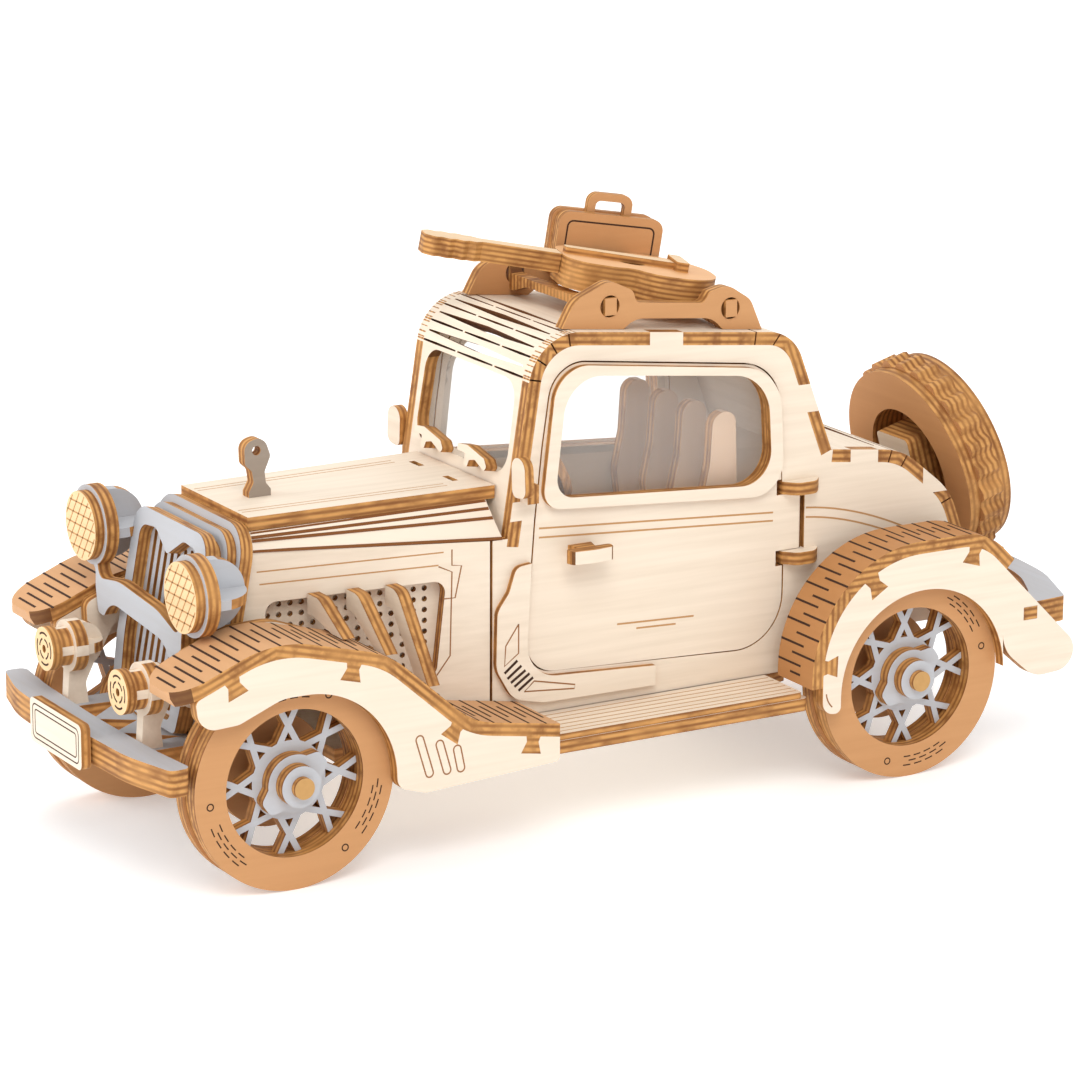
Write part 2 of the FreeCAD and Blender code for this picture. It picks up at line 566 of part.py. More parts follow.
def kerf_rows(centre, middle_turn, rows, radius, pitch, lens_first):
    """Slits across a bent sheet: rows of three short ones between rows of one long lens."""
    cutters = []
    for i in range(rows):
        turned = Rotation(Vector(1, 0, 0), middle_turn + (i - (rows - 1) / 2.0) * pitch)
        if (i % 2 == 0) == lens_first:
            spans = [(-14.2, 14.2, 0.55)]
        else:
            spans = [(-17.5, -5.2, 0.2), (-4.6, 6.0, 0.2), (6.6, 17.5, 0.2)]
        for low, high, half in spans:
            middle = (low + high) / 2.0
            lens = [(low, -0.12), (low, 0.12), (middle, half), (high, 0.12), (high, -0.12), (middle, -half)]
            slit = plate("kerf", "flat", [lens], None, "8")
            slit.Placement = Placement(Vector(0, *centre) + turned.multVec(Vector(0, 0, radius)), turned)
            cutters.append(slit)
    return cutters


def build_cabin():
    """Cabin sides, the bent roof and deck sheets, screen, trims, mirrors and interior."""
    width = "2 * Dims.body_half"
    roof_band = plate("roof_band", "side", [band(ROOF_PATH, dim("ply"))], "0", width)
    deck_band = plate("deck_band", "side", [band(DECK_PATH, dim("ply"))], "0", width)
    notches = {"roof": [((6.4, 12.2), (66.0, 76.0)), ((30.0, 42.0), (57.2, 61.6)),
                        ((-20.0, -12.0), (46.7, 49.6))],
               "deck": [((42.9, 48.0), (45.0, 53.0)), ((56.6, 61.8), (41.6, 50.0)),
                        ((60.0, 75.0), (24.0, 29.0))]}
    inner = dim("body_half") - dim("ply")
    notched = {}
    for name, sheet_band in (("roof", roof_band), ("deck", deck_band)):
        cutters = []
        for (y1, y2), (z1, z2) in notches[name]:
            for _, side in SIDES:
                x1, x2 = sorted((side * inner, side * (inner + 4.0)))
                cutters.append(block("notch", (x1, y1, z1), (x2, y2, z2)))
        notched[name] = cut(name + "_notched", sheet_band, group(name + "_notches", cutters))
    screen_hole = mirrored([(13.9, 52.9, 3.4), (13.4, 67.0, 3.4)])
    opening = plate("screen_opening", "cross", [screen_hole], "-15.5", "9")
    # The first bend's slits turn about the centre of the windscreen's top corner.
    slits = kerf_rows((-6.45, 66.12), 37.5, 8, 7.0, 11.5, True) + [opening]
    slits += kerf_rows((24.2, 63.0), -30.0, 4, 7.4, 15.0, True)
    node(cut("roof_sheet", notched["roof"], fuse("roof_slits", slits)))
    bends = kerf_rows((46.5, 37.4), -26.0, 5, 12.0, 7.0, True)
    bends += kerf_rows((51.0, 36.0), -58.0, 4, 12.0, 7.0, False)
    node(cut("deck_sheet", notched["deck"], fuse("deck_slits", bends)))

    outline = [(-20.5, 16.6), (-20.5, 44.2), (-17.92, 44.2)] + ROOF_PATH[1:3] + [(39.3, 50.8)] \
        + DECK_PATH[1:3] + [(68.3, 24.0), (66.0, 21.0), (35.0, 21.0), (30.5, 16.6)]
    gap = dim("seam")
    knuckle_end = dim("hinge_y") + dim("ply") / 2 + gap
    door_hole = offset(DOOR[:6], -gap, closed=False)[:5] \
        + [(30.45, 44.9), (knuckle_end, 44.9), (knuckle_end, 35.9), (30.85, 35.9), (30.85, 20.65, 8.25)]
    for name, side in SIDES:
        middle = "%d * (Dims.body_half - Dims.ply / 2)" % side
        blank = plate("side_blank_" + name, "side", [outline, door_hole], middle)
        tools = group("side_tools_" + name, [notched["roof"], notched["deck"]] + hinge_leaves(name, side))
        node(cut("body_side_" + name, blank, tools))
    node(group("hinge_leaves", [leaf for name, side in SIDES for leaf in hinge_leaves(name, side, True)]))

    pane = mirrored([(14.6, 51.6, 3.0), (14.3, 68.0, 3.0)])
    rake = "atan(4.9 / 31.9)"
    pane_foot = 51.6
    pane = [(x, z - pane_foot, radius) for x, z, radius in pane]
    screen = plate("windscreen_pane", "cross", [pane], thickness="Dims.film")
    node(place(screen, "0", "-16.75 + Dims.ply + Dims.film", "51.4", (-1, 0, 0), rake))
    wipers = []
    for x in (-6.2, 7.0):
        hook = [(x + a, b, radius) for a, b, radius in (
            (-4.4, 0.6, 0.3), (-4.4, 1.6, 0.3), (-1.6, 1.9, 0.6), (3.6, 0.9, 0.5), (4.6, -0.2, 0.4),
            (4.0, -0.9, 0.3), (1.0, 0.2, 0.5), (-0.6, -0.2, 0.3), (-1.0, -1.3, 0.3), (-2.0, -1.3, 0.3),
            (-2.0, 0.6, 0.3))]
        wipers.append(place(plate("wiper", "cross", [hook]), "0", "-17.5", "54.0", (-1, 0, 0), rake))
    node(group("wipers", wipers))
    mirrors = []
    for name, side in SIDES:
        head = [(17.3, 50.6, 1.2), (17.0, 56.6, 1.8), (20.8, 57.0, 1.8), (21.2, 51.0, 1.4)]
        face = plate("mirror_face_" + name, "cross", [[(side * p[0],) + tuple(p[1:]) for p in head]],
                     "-16.6", "Dims.mid")
        post = block("mirror_post_" + name, (min(side * 17.0, side * 19.2), -15.85, 49.6),
                     (max(side * 17.0, side * 19.2), -13.9, 52.4))
        mirrors.append(fuse("mirror_" + name, [face, post]))
    node(group("mirrors", mirrors))
    trims = []
    for name, side in SIDES:
        elbow = [(-20.4, 24.6, 4.0), (-20.2, 33.5, 3.0), (-18.2, 36.2, 2.0), (-17.0, 39.9, 1.5),
                 (-14.35, 40.2), (-15.35, 22.6, 5.4), (7.4, 21.3), (7.4, 18.2), (-12.0, 18.4, 3.0),
                 (-17.5, 19.6, 4.0)]
        trims.append(plate("elbow_trim_" + name, "side", [elbow],
                           "%d * (Dims.body_half + Dims.thin / 2)" % side, "Dims.thin"))
    node(group("elbow_trims", trims))
    build_interior()


def hinge_leaves(name, side, drilled=False):
    """Half-moon leaves that carry one door, as cutters for their slots or as drilled pieces."""
    leaves = []
    for height in ("hinge_low", "hinge_high"):
        y = dim("hinge_y")
        crescent = [(side * 15.0, 30.3), (side * 17.3, 30.3, 1.0), (side * 19.2, 32.0, 2.0),
                    (side * 19.2, 35.2, 2.0), (side * 17.3, 36.9, 1.0), (side * 15.0, 36.9)]
        wires = [crescent]
        if drilled:
            wires.append(circle(side * (dim("body_half") - dim("ply") / 2), y, "pin_bore"))
        leaves.append(plate("leaf_%s_%s_%d" % (height, name, drilled), "flat", wires, "Dims." + height))
    return leaves


def build_interior():
    """Two scalloped seat profiles with a cushion, and the steering wheel on its column."""
    seat_back = [(7.5, 16.0), (7.5, 27.0, 1.5), (16.0, 29.0, 2.5), (19.0, 38.0, 3.0), (18.2, 44.0, 3.0),
                 (19.5, 50.0, 3.0), (20.0, 58.0, 2.1), (24.0, 58.0, 1.8), (25.0, 30.0, 2.0), (25.0, 16.0)]
    seats = []
    for i, x in enumerate((-12.5, -4.0, 4.0, 12.5)):
        seats.append(plate("seat_rib_%d" % i, "side", [seat_back], str(x)))
    seats.append(plate("seat_cushion", "flat", [mirrored([(13.6, 6.6, 1.5), (13.6, 15.6, 1.5)])], "30.4"))
    node(group("seats", seats))
    rim = plate("steering_rim", "cross", [circle(0, 0, 5.6), circle(0, 0, 4.2)], "0", "Dims.mid")
    bar = [(-4.6, -0.7), (-4.6, 0.7), (4.6, 0.7), (4.6, -0.7)]
    add_pad(rim, "cross", [bar], "Dims.mid")
    add_pad(rim, "cross", [[(-0.7, -4.6), (-0.7, 0.6), (0.7, 0.6), (0.7, -4.6)]], "Dims.mid")
    place(rim, "7.5", "-6.0", "51.5", (1, 0, 0), "25")
    column = plate("steering_column", "cross", [circle(0, 0, 0.9)], "0", "9")
    place(column, "7.5", "-10.1", "49.6", (1, 0, 0), "25")
    node(fuse("steering_wheel", [rim, column]))


def build_doors():
    """Doors with their hinge knuckle and pins, raised window frames, panes and handles."""
    for name, side in SIDES:
        middle = "%d * (Dims.body_half - Dims.ply / 2)" % side
        light = offset(WINDOW, -0.3)
        door = plate("door_" + name, "side", [DOOR, light], middle)
        y = dim("hinge_y")
        centre = "(Dims.hinge_low + Dims.hinge_high) / 2"
        span = "Dims.hinge_high - Dims.hinge_low"
        add_pad(door, "flat", [circle(0, y, dim("ply") / 2)], span + " - Dims.ply - 0.2", centre)
        add_pad(door, "flat", [circle(0, y, "pin_radius")], span + " + 0.6 * Dims.ply", centre)
        node(door)
        rim = plate("window_frame_" + name, "side", [FRAME_RIM, WINDOW],
                    "%d * (Dims.body_half + Dims.thin / 2)" % side, "Dims.thin")
        node(plate("side_pane_" + name, "side", [offset(WINDOW, -1.4)],
                   "%d * (Dims.body_half - Dims.ply - Dims.film / 2)" % side, "Dims.film"))
        handle_height = "40.9"
        lug_outline = [(side * 17.0, -7.6), (side * 19.2, -7.0), (side * 19.2, -4.2), (side * 17.0, -3.6)]
        lug = plate("handle_lug_" + name, "flat", [lug_outline], handle_height)
        grip_outline = [(side * 19.2, -9.4, 0.5), (side * 21.0, -9.0, 0.8), (side * 21.4, -5.6, 6.0),
                        (side * 21.0, -2.0, 0.8), (side * 19.2, -1.6, 0.5)]
        grip = plate("handle_grip_" + name, "flat", [grip_outline], handle_height)
        node(group("door_trims_" + name, [rim, fuse("door_handle_" + name, [lug, grip])]))


def dovetail(y, z, slope, height=2.6):
    """Key that locks a fender sheet to its side plate, hanging below the point (y, z)."""
    angle = math.radians(slope)
    shape = []
    for along, down in ((-1.5, -1.0), (-1.0, 0.8), (-1.7, height), (1.7, height), (1.0, 0.8), (1.5, -1.0)):
        shape.append((y + along * math.cos(angle) + down * math.sin(angle),
                      z + along * math.sin(angle) - down * math.cos(angle)))
    return shape


def build_fenders():
    """Fender side plates, the kerf-bent sheets on top of them and their dovetail keys."""
    front = FRONT_ARCH_TOP[1:] + [
        (-16.5, 13.3, 0.8), (-39.0, 12.0, 2.0), (-43.6, 13.4, 2.0), (-44.3, 29.7, 14.6), (-62.0, 29.7, 7.0),
        (-69.0, 26.9, 3.0), (-75.2, 26.6, 3.0), (-75.7, 31.2, 1.0)]
    rear = [(29.9, 13.2, 2.0), (29.9, 36.2, 17.5), (59.0, 36.2, 9.0), (81.0, 14.2, 3.2), (69.5, 13.4, 5.0),
            (63.4, 18.6, 6.0), (62.9, 30.4, 15.0), (33.2, 30.4, 15.0), (33.2, 13.0, 1.0)]
    front_keys = ((-70.0, 33.5, 22.0), (-50.6, 33.2, -14.5), (-33.6, 21.6, -36.0), (-21.0, 17.75, -9.5))
    rear_keys = ((29.9, 20.6, 88.0), (38.6, 33.2, 32.0), (57.6, 35.8, -17.0))
    skins = {"front": [], "rear": []}
    for end, outline, keys in (("front", front, front_keys), ("rear", rear, rear_keys)):
        for name, side in SIDES:
            middle = "%d * (Dims.fender_face - Dims.ply / 2)" % side
            blank = plate("%s_fender_blank_%s" % (end, name), "side", [outline], middle)
            tails = [plate("key_%s_%s" % (end, name), "side", [dovetail(*key)], middle) for key in keys]
            for tail in tails:
                key = doc.addObject("Part::Common", "fitted_key")
                key.Base = blank
                key.Tool = tail
                skins[end].append(key)
            if end == "rear":
                stay_y, stay_z = 68.45, 23.9
                tails.append(plate("stay_slot_" + name, "side", [[
                    (stay_y - 1.3, stay_z - 1.05), (stay_y - 1.3, stay_z + 1.05),
                    (stay_y + 1.3, stay_z + 1.05), (stay_y + 1.3, stay_z - 1.05)]], middle))
            node(cut("%s_fender_%s" % (end, name), blank, group("keys_%s_%s" % (end, name), tails)))
    inner, outer = dim("body_half") + 0.3, dim("fender_face")
    for name, side in SIDES:
        path = offset(FRONT_ARCH_TOP, -dim("ply"), closed=False)
        sheet_width = "Dims.fender_face - Dims.body_half - 0.3"
        centre = "%d * (Dims.fender_face + Dims.body_half + 0.3) / 2" % side
        bent = plate("front_sheet_" + name, "side", [band(path, dim("ply"))], centre, sheet_width)
        plan = [(side * inner, -16.5), (side * inner, -78.6, 5.0), (side * outer, -78.6, 5.0),
                (side * outer, -16.5)]
        trim = plate("front_plan_" + name, "flat", [plan], "28", "40")
        rounded = doc.addObject("Part::Common", "front_skin_" + name)
        rounded.Base = bent
        rounded.Tool = trim
        skins["front"].append(rounded)
        path = offset(REAR_ARCH_TOP, -dim("ply"), closed=False)
        skins["rear"].append(plate("rear_sheet_" + name, "side", [band(path, dim("ply"))],
                                   "%d * (Dims.fender_face + Dims.rear_sheet_inner) / 2" % side,
                                   "Dims.fender_face - Dims.rear_sheet_inner"))
    node(group("front_fender_sheets", skins["front"]))
    node(group("rear_fender_sheets", skins["rear"]))


def build_rear():
    """Rear bumper with its tongue and fender stays, and the spare wheel on its block."""
    outline = mirrored([(0.0, 80.0, 50.0), (14.0, 78.2, 25.0), (23.5, 73.0, 3.0), (23.5, 65.0), (28.0, 65.0),
                        (28.0, 70.6), (27.4, 76.9, 1.0), (15.0, 82.2, 25.0), (0.0, 84.5, 60.0)])
    pieces = []
    for layer in (0, 1):
        pieces.append(plate("rear_bumper_ply_%d" % layer, "flat", [outline],
                            "Dims.rear_bumper_height + (%d + 0.5) * Dims.ply" % layer))
    for name, side in SIDES:
        x1, x2 = sorted((side * 28.0, side * 30.0))
        foot = dim("rear_bumper_height") + dim("ply")
        tenon = block("bumper_tenon_" + name, (x1, 67.2, foot), (x2, 69.7, foot + dim("ply")))
        pieces[1] = fuse("rear_bumper_top_" + name, [pieces[1], tenon])
    node(group("rear_bumper", pieces))

    def leaning(piece, behind):
        """Place a spare wheel layer on the leaning axis, `behind` its front face."""
        return place(piece, "0", "Dims.spare_y + (%s) * cos(Dims.spare_lean)" % behind,
                     "Dims.spare_height + (%s) * sin(Dims.spare_lean)" % behind,
                     (1, 0, 0), "Dims.spare_lean")

    tooth_count = 26
    crown = []
    for i in range(tooth_count):
        for step, radius in ((0.0, dim("spare_tread") - 0.9), (0.25, dim("spare_tread")),
                             (0.5, dim("spare_tread")), (0.75, dim("spare_tread") - 0.9)):
            angle = 2 * math.pi * (i + step) / tooth_count
            crown.append((radius * math.cos(angle), radius * math.sin(angle), 0.25))
    layers = [leaning(plate("spare_face", "cross", [circle(0, 0, "wheel_radius"), circle(0, 0, 9.6)]),
                      "Dims.ply / 2")]
    for i in (1, 2):
        layers.append(leaning(plate("spare_tread_%d" % i, "cross", [crown, circle(0, 0, 9.6)]),
                              "(%d + 0.5) * Dims.ply" % i))
    layers.append(leaning(plate("spare_back", "cross", [circle(0, 0, "wheel_radius"), circle(0, 0, 3.0)]),
                          "3.5 * Dims.ply"))
    node(group("spare_wheel", layers))
    hub = [leaning(plate("spare_block_%d" % i, "cross",
                         [mirrored([(4.2, -6.0, 0.8), (4.2, 6.0, 0.8)])]), "(%d + 0.5) * Dims.ply" % i)
           for i in (-1, 0, 1, 2)]
    hub.append(leaning(plate("spare_pin", "cross", [circle(0, 0, 3.0)], "0", "2 * Dims.ply"), "4 * Dims.ply"))
    node(group("spare_mount", hub))


def build_roof_load():
    """Roof rack with its cross bars, the guitar and the suitcase, all level with the roof."""
    cheek = [(-7.6, 74.35), (-5.4, 78.3, 4.0), (0.6, 80.8, 3.0), (4.6, 78.9, 1.5), (5.2, 77.0, 1.0),
             (17.0, 75.7, 1.0), (18.2, 77.3, 0.8), (21.4, 78.0, 3.0), (25.4, 75.4, 3.0), (27.5, 70.55),
             (20.5, 71.3), (18.6, 73.2, 4.0), (5.0, 74.6, 4.0), (3.0, 73.2)]
    # Place of each cross bar, then the heights of its saddle, of its belly and of its feet.
    bars = ((0.6, 76.9, 77.0, 75.7, 74.5), (21.8, 74.4, 73.0, 71.8, 71.4))
    rack = []
    for name, side in SIDES:
        holes = [circle(y, z, 1.66) for y, z, _, _, _ in bars]
        rack.append(plate("rack_side_" + name, "side", [cheek] + holes,
                          "%d * (Dims.rack_half - Dims.ply / 2)" % side))
    half = dim("rack_half")
    for i, (y, z, top, belly, foot) in enumerate(bars):
        bar = mirrored([(half + 0.3, z + 1.3), (half + 0.3, z - 1.3), (half - 2.0, z - 1.3),
                        (half - 2.0, foot), (half - 3.4, foot), (half - 7.0, belly, 6.0)])
        bar += [(-half + 2.0, z + 1.3), (-half + 2.6, top, 0.6), (half - 2.6, top, 0.6),
                (half - 2.0, z + 1.3)]
        rack.append(plate("rack_bar_%d" % i, "cross", [bar], str(y)))
    node(group("roof_rack", rack))
    build_guitar()
    build_suitcase()


def build_guitar():
    """Three-ply guitar lying on the cross bars, with its neck, fretboard and bridge."""
    lie = Rotation(Vector(0, 0, 1), -17.0).multiply(Rotation(Vector(1, 0, 0), -10.6))
    base = Vector(3.2, 16.0, 74.8)

    def laid(piece, up):
        """Lay a piece `up` above the guitar's underside."""
        piece.Placement = Placement(base + lie.multVec(Vector(0, 0, up)), lie)
        return piece

    bout = mirrored([(3.0, -16.2, 1.0), (6.6, -15.2, 4.0), (6.8, -8.6, 2.5), (5.6, -6.2, 2.5),
                     (8.7, -3.0, 5.0), (8.6, 8.2, 8.0)])
    sound_hole = circle(0, -5.0, 2.3)
    plies = [laid(plate("guitar_ply_0", "flat", [bout], None, "Dims.mid"), 0.75),
             laid(plate("guitar_ply_1", "flat", [bout], None, "Dims.mid"), 2.25),
             laid(plate("guitar_ply_2", "flat", [bout, sound_hole], None, "Dims.mid"), 3.75)]
    node(group("guitar_body", plies))
    neck = mirrored([(1.7, -16.3), (1.5, -28.6), (2.5, -29.8, 0.5), (2.2, -30.8, 0.4), (3.0, -31.8, 0.5),
                     (2.3, -32.9, 0.4), (3.0, -34.0, 0.5), (2.3, -35.1, 0.4), (2.8, -36.2, 0.5),
                     (1.6, -37.6, 0.8)])
    strip = mirrored([(1.0, -15.6, 0.4), (1.3, 1.4)])
    saddle = mirrored([(3.2, 1.4, 0.5), (3.2, 3.4, 0.5)])
    node(group("guitar_neck", [laid(plate("neck_ply", "flat", [neck], None, "2 * Dims.mid"), 3.0),
                               laid(plate("guitar_strip", "flat", [strip], None, "Dims.thin"), 5.0),
                               laid(plate("guitar_bridge", "flat", [saddle], None, "Dims.mid"), 5.25)]))


def build_suitcase():
    """Suitcase of stacked plates with a handle, standing on the cross bars beside the guitar."""
    stand = Rotation(Vector(0, 0, 1), -11.0).multiply(Rotation(Vector(1, 0, 0), -9.0))
    base = Vector(-8.9, 12.9, 76.0)
    shell = [(-8.5, 0.0, 1.4), (-8.5, 9.8, 1.8), (8.5, 9.8, 1.8), (8.5, 0.0, 1.4)]
    core = [(-8.2, 0.3, 1.2), (-8.2, 9.5, 1.6), (8.2, 9.5, 1.6), (8.2, 0.3, 1.2)]
    grip = [(-3.6, 9.4), (-3.6, 12.8, 1.6), (3.6, 12.8, 1.6), (3.6, 9.4)]
    grasp = [(-2.4, 9.0), (-2.4, 11.6, 0.8), (2.4, 11.6, 0.8), (2.4, 9.0)]
    pieces = []
    for i, outline in enumerate((shell, core, shell)):
        thickness = "Dims.ply" if i == 1 else "Dims.mid"
        piece = plate("case_ply_%d" % i, "side", [outline], None, thickness)
        piece.Placement = Placement(base + stand.multVec(Vector((i - 1) * 1.75, 0, 0)), stand)
        pieces.append(piece)
    handle = cut("case_handle", plate("grip", "side", [grip], thickness="Dims.mid"),
                 plate("grasp", "side", [grasp], thickness="Dims.ply"))
    handle.Placement = Placement(base, stand)
    node(group("suitcase", [pieces[0], fuse("case_middle", [pieces[1], handle]), pieces[2]]))


BUILDERS = (build_chassis, build_wheels, build_front, build_bonnet, build_cabin, build_doors,
            build_fenders, build_rear, build_roof_load)


def check_document():
    """Stop if any object failed to build."""
    for obj in doc.Objects:
        if "Invalid" in obj.State or "Error" in obj.State:
            raise RuntimeError("%s failed: %s" % (obj.Label, obj.State))
    for piece in nodes:
        if piece.Shape.isNull() or not piece.Shape.isValid():
            raise RuntimeError("%s has no valid shape" % piece.Label)


for builder in BUILDERS:
    builder()
doc.recompute()
check_document()
os.makedirs("parts", exist_ok=True)
for piece in nodes:
    piece.Shape.exportStep("parts/%s.step" % piece.Label)
    print("%-26s solids %2d  volume %9.1f" % (piece.Label, len(piece.Shape.Solids), piece.Shape.Volume))
whole = Part.makeCompound([piece.Shape for piece in nodes]).BoundBox
print("box", [round(v, 2) for v in (whole.XMin, whole.XMax, whole.YMin, whole.YMax, whole.ZMin, whole.ZMax)])
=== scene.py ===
"""Looks of the plywood coupe: printed and bare plywood, burnt edges, engraved lines, light and camera.

Places and lengths are in millimetres, unless a comment says otherwise.  The car faces -Y, and its
left side faces +X.
"""
import math
import bpy
from mathutils import Matrix, Vector


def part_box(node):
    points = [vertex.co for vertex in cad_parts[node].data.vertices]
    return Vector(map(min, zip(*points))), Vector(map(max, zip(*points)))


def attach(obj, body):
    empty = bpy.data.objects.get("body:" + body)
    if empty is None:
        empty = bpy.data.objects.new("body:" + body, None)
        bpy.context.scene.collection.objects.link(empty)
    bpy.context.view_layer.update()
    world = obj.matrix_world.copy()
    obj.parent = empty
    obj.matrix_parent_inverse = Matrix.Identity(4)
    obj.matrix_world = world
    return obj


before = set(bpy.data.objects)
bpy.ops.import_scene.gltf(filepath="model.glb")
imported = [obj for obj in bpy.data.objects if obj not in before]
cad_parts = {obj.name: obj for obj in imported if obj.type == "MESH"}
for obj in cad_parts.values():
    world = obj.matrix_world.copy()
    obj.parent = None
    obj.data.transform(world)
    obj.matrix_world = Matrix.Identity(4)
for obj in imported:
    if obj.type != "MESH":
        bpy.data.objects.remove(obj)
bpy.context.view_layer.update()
MM = 0.001
X, Y, Z = Vector((1, 0, 0)), Vector((0, 1, 0)), Vector((0, 0, 1))
SIDES = (("left", 1), ("right", -1))

# Colours are linear RGB.
CREAM = (0.855, 0.735, 0.60)
TAN = (0.58, 0.295, 0.125)
PALE_TAN = (0.64, 0.355, 0.175)
DEEP_TAN = (0.51, 0.24, 0.088)
GREY = (0.50, 0.51, 0.54)
LENS = (0.86, 0.60, 0.33)
SEAT = (0.72, 0.50, 0.33)
GUITAR_TOP = (0.78, 0.44, 0.21)
GUITAR_NECK = (0.80, 0.58, 0.36)
MASCOT = (0.33, 0.27, 0.22)
DOWEL = (0.55, 0.31, 0.11)
# The window film's pale veil is a painted sheen on the panes. Its warm tint is painted light that makes the
# shaded interior behind them look lighter and warmer.
FILM_WITH_PAINTED_LIGHT = (0.94, 0.92, 0.90)
CHAR = (0.045, 0.016, 0.006)
SCORE = (0.50, 0.27, 0.11)
FINE_LINE = (0.30, 0.13, 0.045)
EDGE_LIGHT = (0.62, 0.31, 0.095)
EDGE_DARK = (0.20, 0.068, 0.015)
OUTLINE = (0.11, 0.038, 0.010)


# ---------------------------------------------------------------- materials
def new_material(name):
    """An empty material with one Principled shader."""
    material = bpy.data.materials.new(name)
    material.use_nodes = True
    nodes = material.node_tree.nodes
    nodes.clear()
    output = nodes.new("ShaderNodeOutputMaterial")
    shader = nodes.new("ShaderNodeBsdfPrincipled")
    material.node_tree.links.new(shader.outputs[0], output.inputs[0])
    return material, shader


def plain(name, colour, roughness=0.6, alpha=1.0):
    """One colour all over."""
    material, shader = new_material(name)
    shader.inputs["Base Color"].default_value = (*colour, 1.0)
    shader.inputs["Roughness"].default_value = roughness
    shader.inputs["Alpha"].default_value = alpha
    return material


class Plywood:
    """Builds one plywood material: printed or bare faces and burnt, striped edges."""

    def __init__(self, name):
        self.material, self.shader = new_material(name)
        self.nodes = self.material.node_tree.nodes
        self.links = self.material.node_tree.links
        self.place = self.nodes.new("ShaderNodeTexCoord").outputs["Object"]
        # The normal is read in the piece's own space, so that a turned door keeps its faces.
        facing = self.nodes.new("ShaderNodeVectorTransform")
        facing.vector_type = "NORMAL"
        facing.convert_from = "WORLD"
        facing.convert_to = "OBJECT"
        self.links.new(self.nodes.new("ShaderNodeNewGeometry").outputs["True Normal"], facing.inputs[0])
        self.facing = facing.outputs[0]

    def plug(self, value, socket):
        """Set a socket from a number, a colour or another node's output."""
        if isinstance(value, bpy.types.NodeSocket):
            self.links.new(value, socket)
        elif isinstance(value, tuple):
            socket.default_value = (*value, 1.0)
        else:
            socket.default_value = value

    def maths(self, operation, first, second=0.0):
        """One arithmetic step on two numbers."""
        node = self.nodes.new("ShaderNodeMath")
        node.operation = operation
        self.plug(first, node.inputs[0])
        self.plug(second, node.inputs[1])
        return node.outputs[0]

    def dot(self, vector, direction):
        """How far a vector goes along a fixed direction."""
        node = self.nodes.new("ShaderNodeVectorMath")
        node.operation = "DOT_PRODUCT"
        self.plug(vector, node.inputs[0])
        node.inputs[1].default_value = Vector(direction).normalized()
        return node.outputs["Value"]

    def remap(self, value, low, high, to_low=0.0, to_high=1.0):
        """Stretches low..high to to_low..to_high and holds it at both ends."""
        node = self.nodes.new("ShaderNodeMapRange")
        for socket, number in zip(node.inputs[1:5], (low, high, to_low, to_high)):
            socket.default_value = number
        self.plug(value, node.inputs[0])
        return node.outputs[0]

    def mix(self, factor, first, second):
        """The first colour where the factor is 0, the second where it is 1."""
        node = self.nodes.new("ShaderNodeMix")
        node.data_type = "RGBA"
        first_socket, second_socket = [s for s in node.inputs if s.type == "RGBA"]
        self.plug(factor, node.inputs[0])
        self.plug(first, first_socket)
        self.plug(second, second_socket)
        return [s for s in node.outputs if s.type == "RGBA"][0]

    def noise(self, scale, stretch, along, detail=4.0):
        """Noise drawn out by `stretch` along one axis."""
        mapping = self.nodes.new("ShaderNodeMapping")
        mapping.inputs["Scale"].default_value = [1.0 / stretch if abs(a) > 0.5 else 1.0 for a in along]
        self.plug(self.place, mapping.inputs[0])
        texture = self.nodes.new("ShaderNodeTexNoise")
        texture.inputs["Scale"].default_value = scale
        texture.inputs["Detail"].default_value = detail
        self.plug(mapping.outputs[0], texture.inputs["Vector"])
        return texture.outputs["Fac"]


def height_above(wood, path, hollow_end=False):
    """Height above a bent sheet's outline of (y, z) corners, in metres.

    The outline bulges outwards everywhere, except at its last bend if `hollow_end` is set.
    """
    height = None
    for i, (start, end) in enumerate(zip(path, path[1:])):
        run = (Vector(end[:2]) - Vector(start[:2])).normalized()
        up = Vector((0, -run.y, run.x))
        level = up.dot(Vector((0, *start[:2]))) * MM
        rise = wood.maths("SUBTRACT", wood.dot(wood.place, up), level)
        last = hollow_end and i == len(path) - 2
        height = rise if height is None else wood.maths("MINIMUM" if last else "MAXIMUM", height, rise)
    return height


# Noise scales are per metre.
FIBRE_SCALE, CLOUD_SCALE, SOOT_SCALE, PATCH_SCALE = 900.0, 60.0, 650.0, 110.0
VENEER_PAIRS = 2
# Cosines of the angle up to which a surface counts as a face, and as a chamfer beside one.
FACE_LIMIT, STRICT_FACE_LIMIT, CHAMFER_LIMIT = 0.92, 0.98, 0.45


def face_colour(wood, fibres, face, grain, printed):
    """The face's colour, streaked along its fibres and clouded a little."""
    depth = 0.95 if printed else 0.91
    streak = (face[0] * depth, face[1] * depth * 0.985, face[2] * depth * 0.96)
    clouds = wood.noise(CLOUD_SCALE, 2.0, grain, 2.0)
    surface = wood.mix(wood.remap(fibres, 0.35, 0.68), face, streak)
    return wood.mix(wood.remap(clouds, 0.35, 0.75, 0.0, 0.5), surface, tuple(c * 0.95 for c in face))


def edge_colour(wood, stack, grain, thickness):
    """A burnt edge: light and dark veneers along `stack`, with soot and lighter patches."""
    turns = 2.0 * math.pi * VENEER_PAIRS / (thickness * MM)
    veneers = wood.maths("COSINE", wood.maths("MULTIPLY", stack, turns))
    soot = wood.noise(SOOT_SCALE, 3.0, grain, 3.0)
    patches = wood.noise(PATCH_SCALE, 1.0, grain, 2.0)
    edge = wood.mix(wood.remap(veneers, -0.9, 0.6, 0.15, 1.0), EDGE_DARK, EDGE_LIGHT)
    edge = wood.mix(wood.remap(soot, 0.42, 0.68, 0.0, 0.75), edge, EDGE_DARK)
    return wood.mix(wood.remap(patches, 0.45, 0.7, 0.0, 0.5), edge, EDGE_LIGHT)


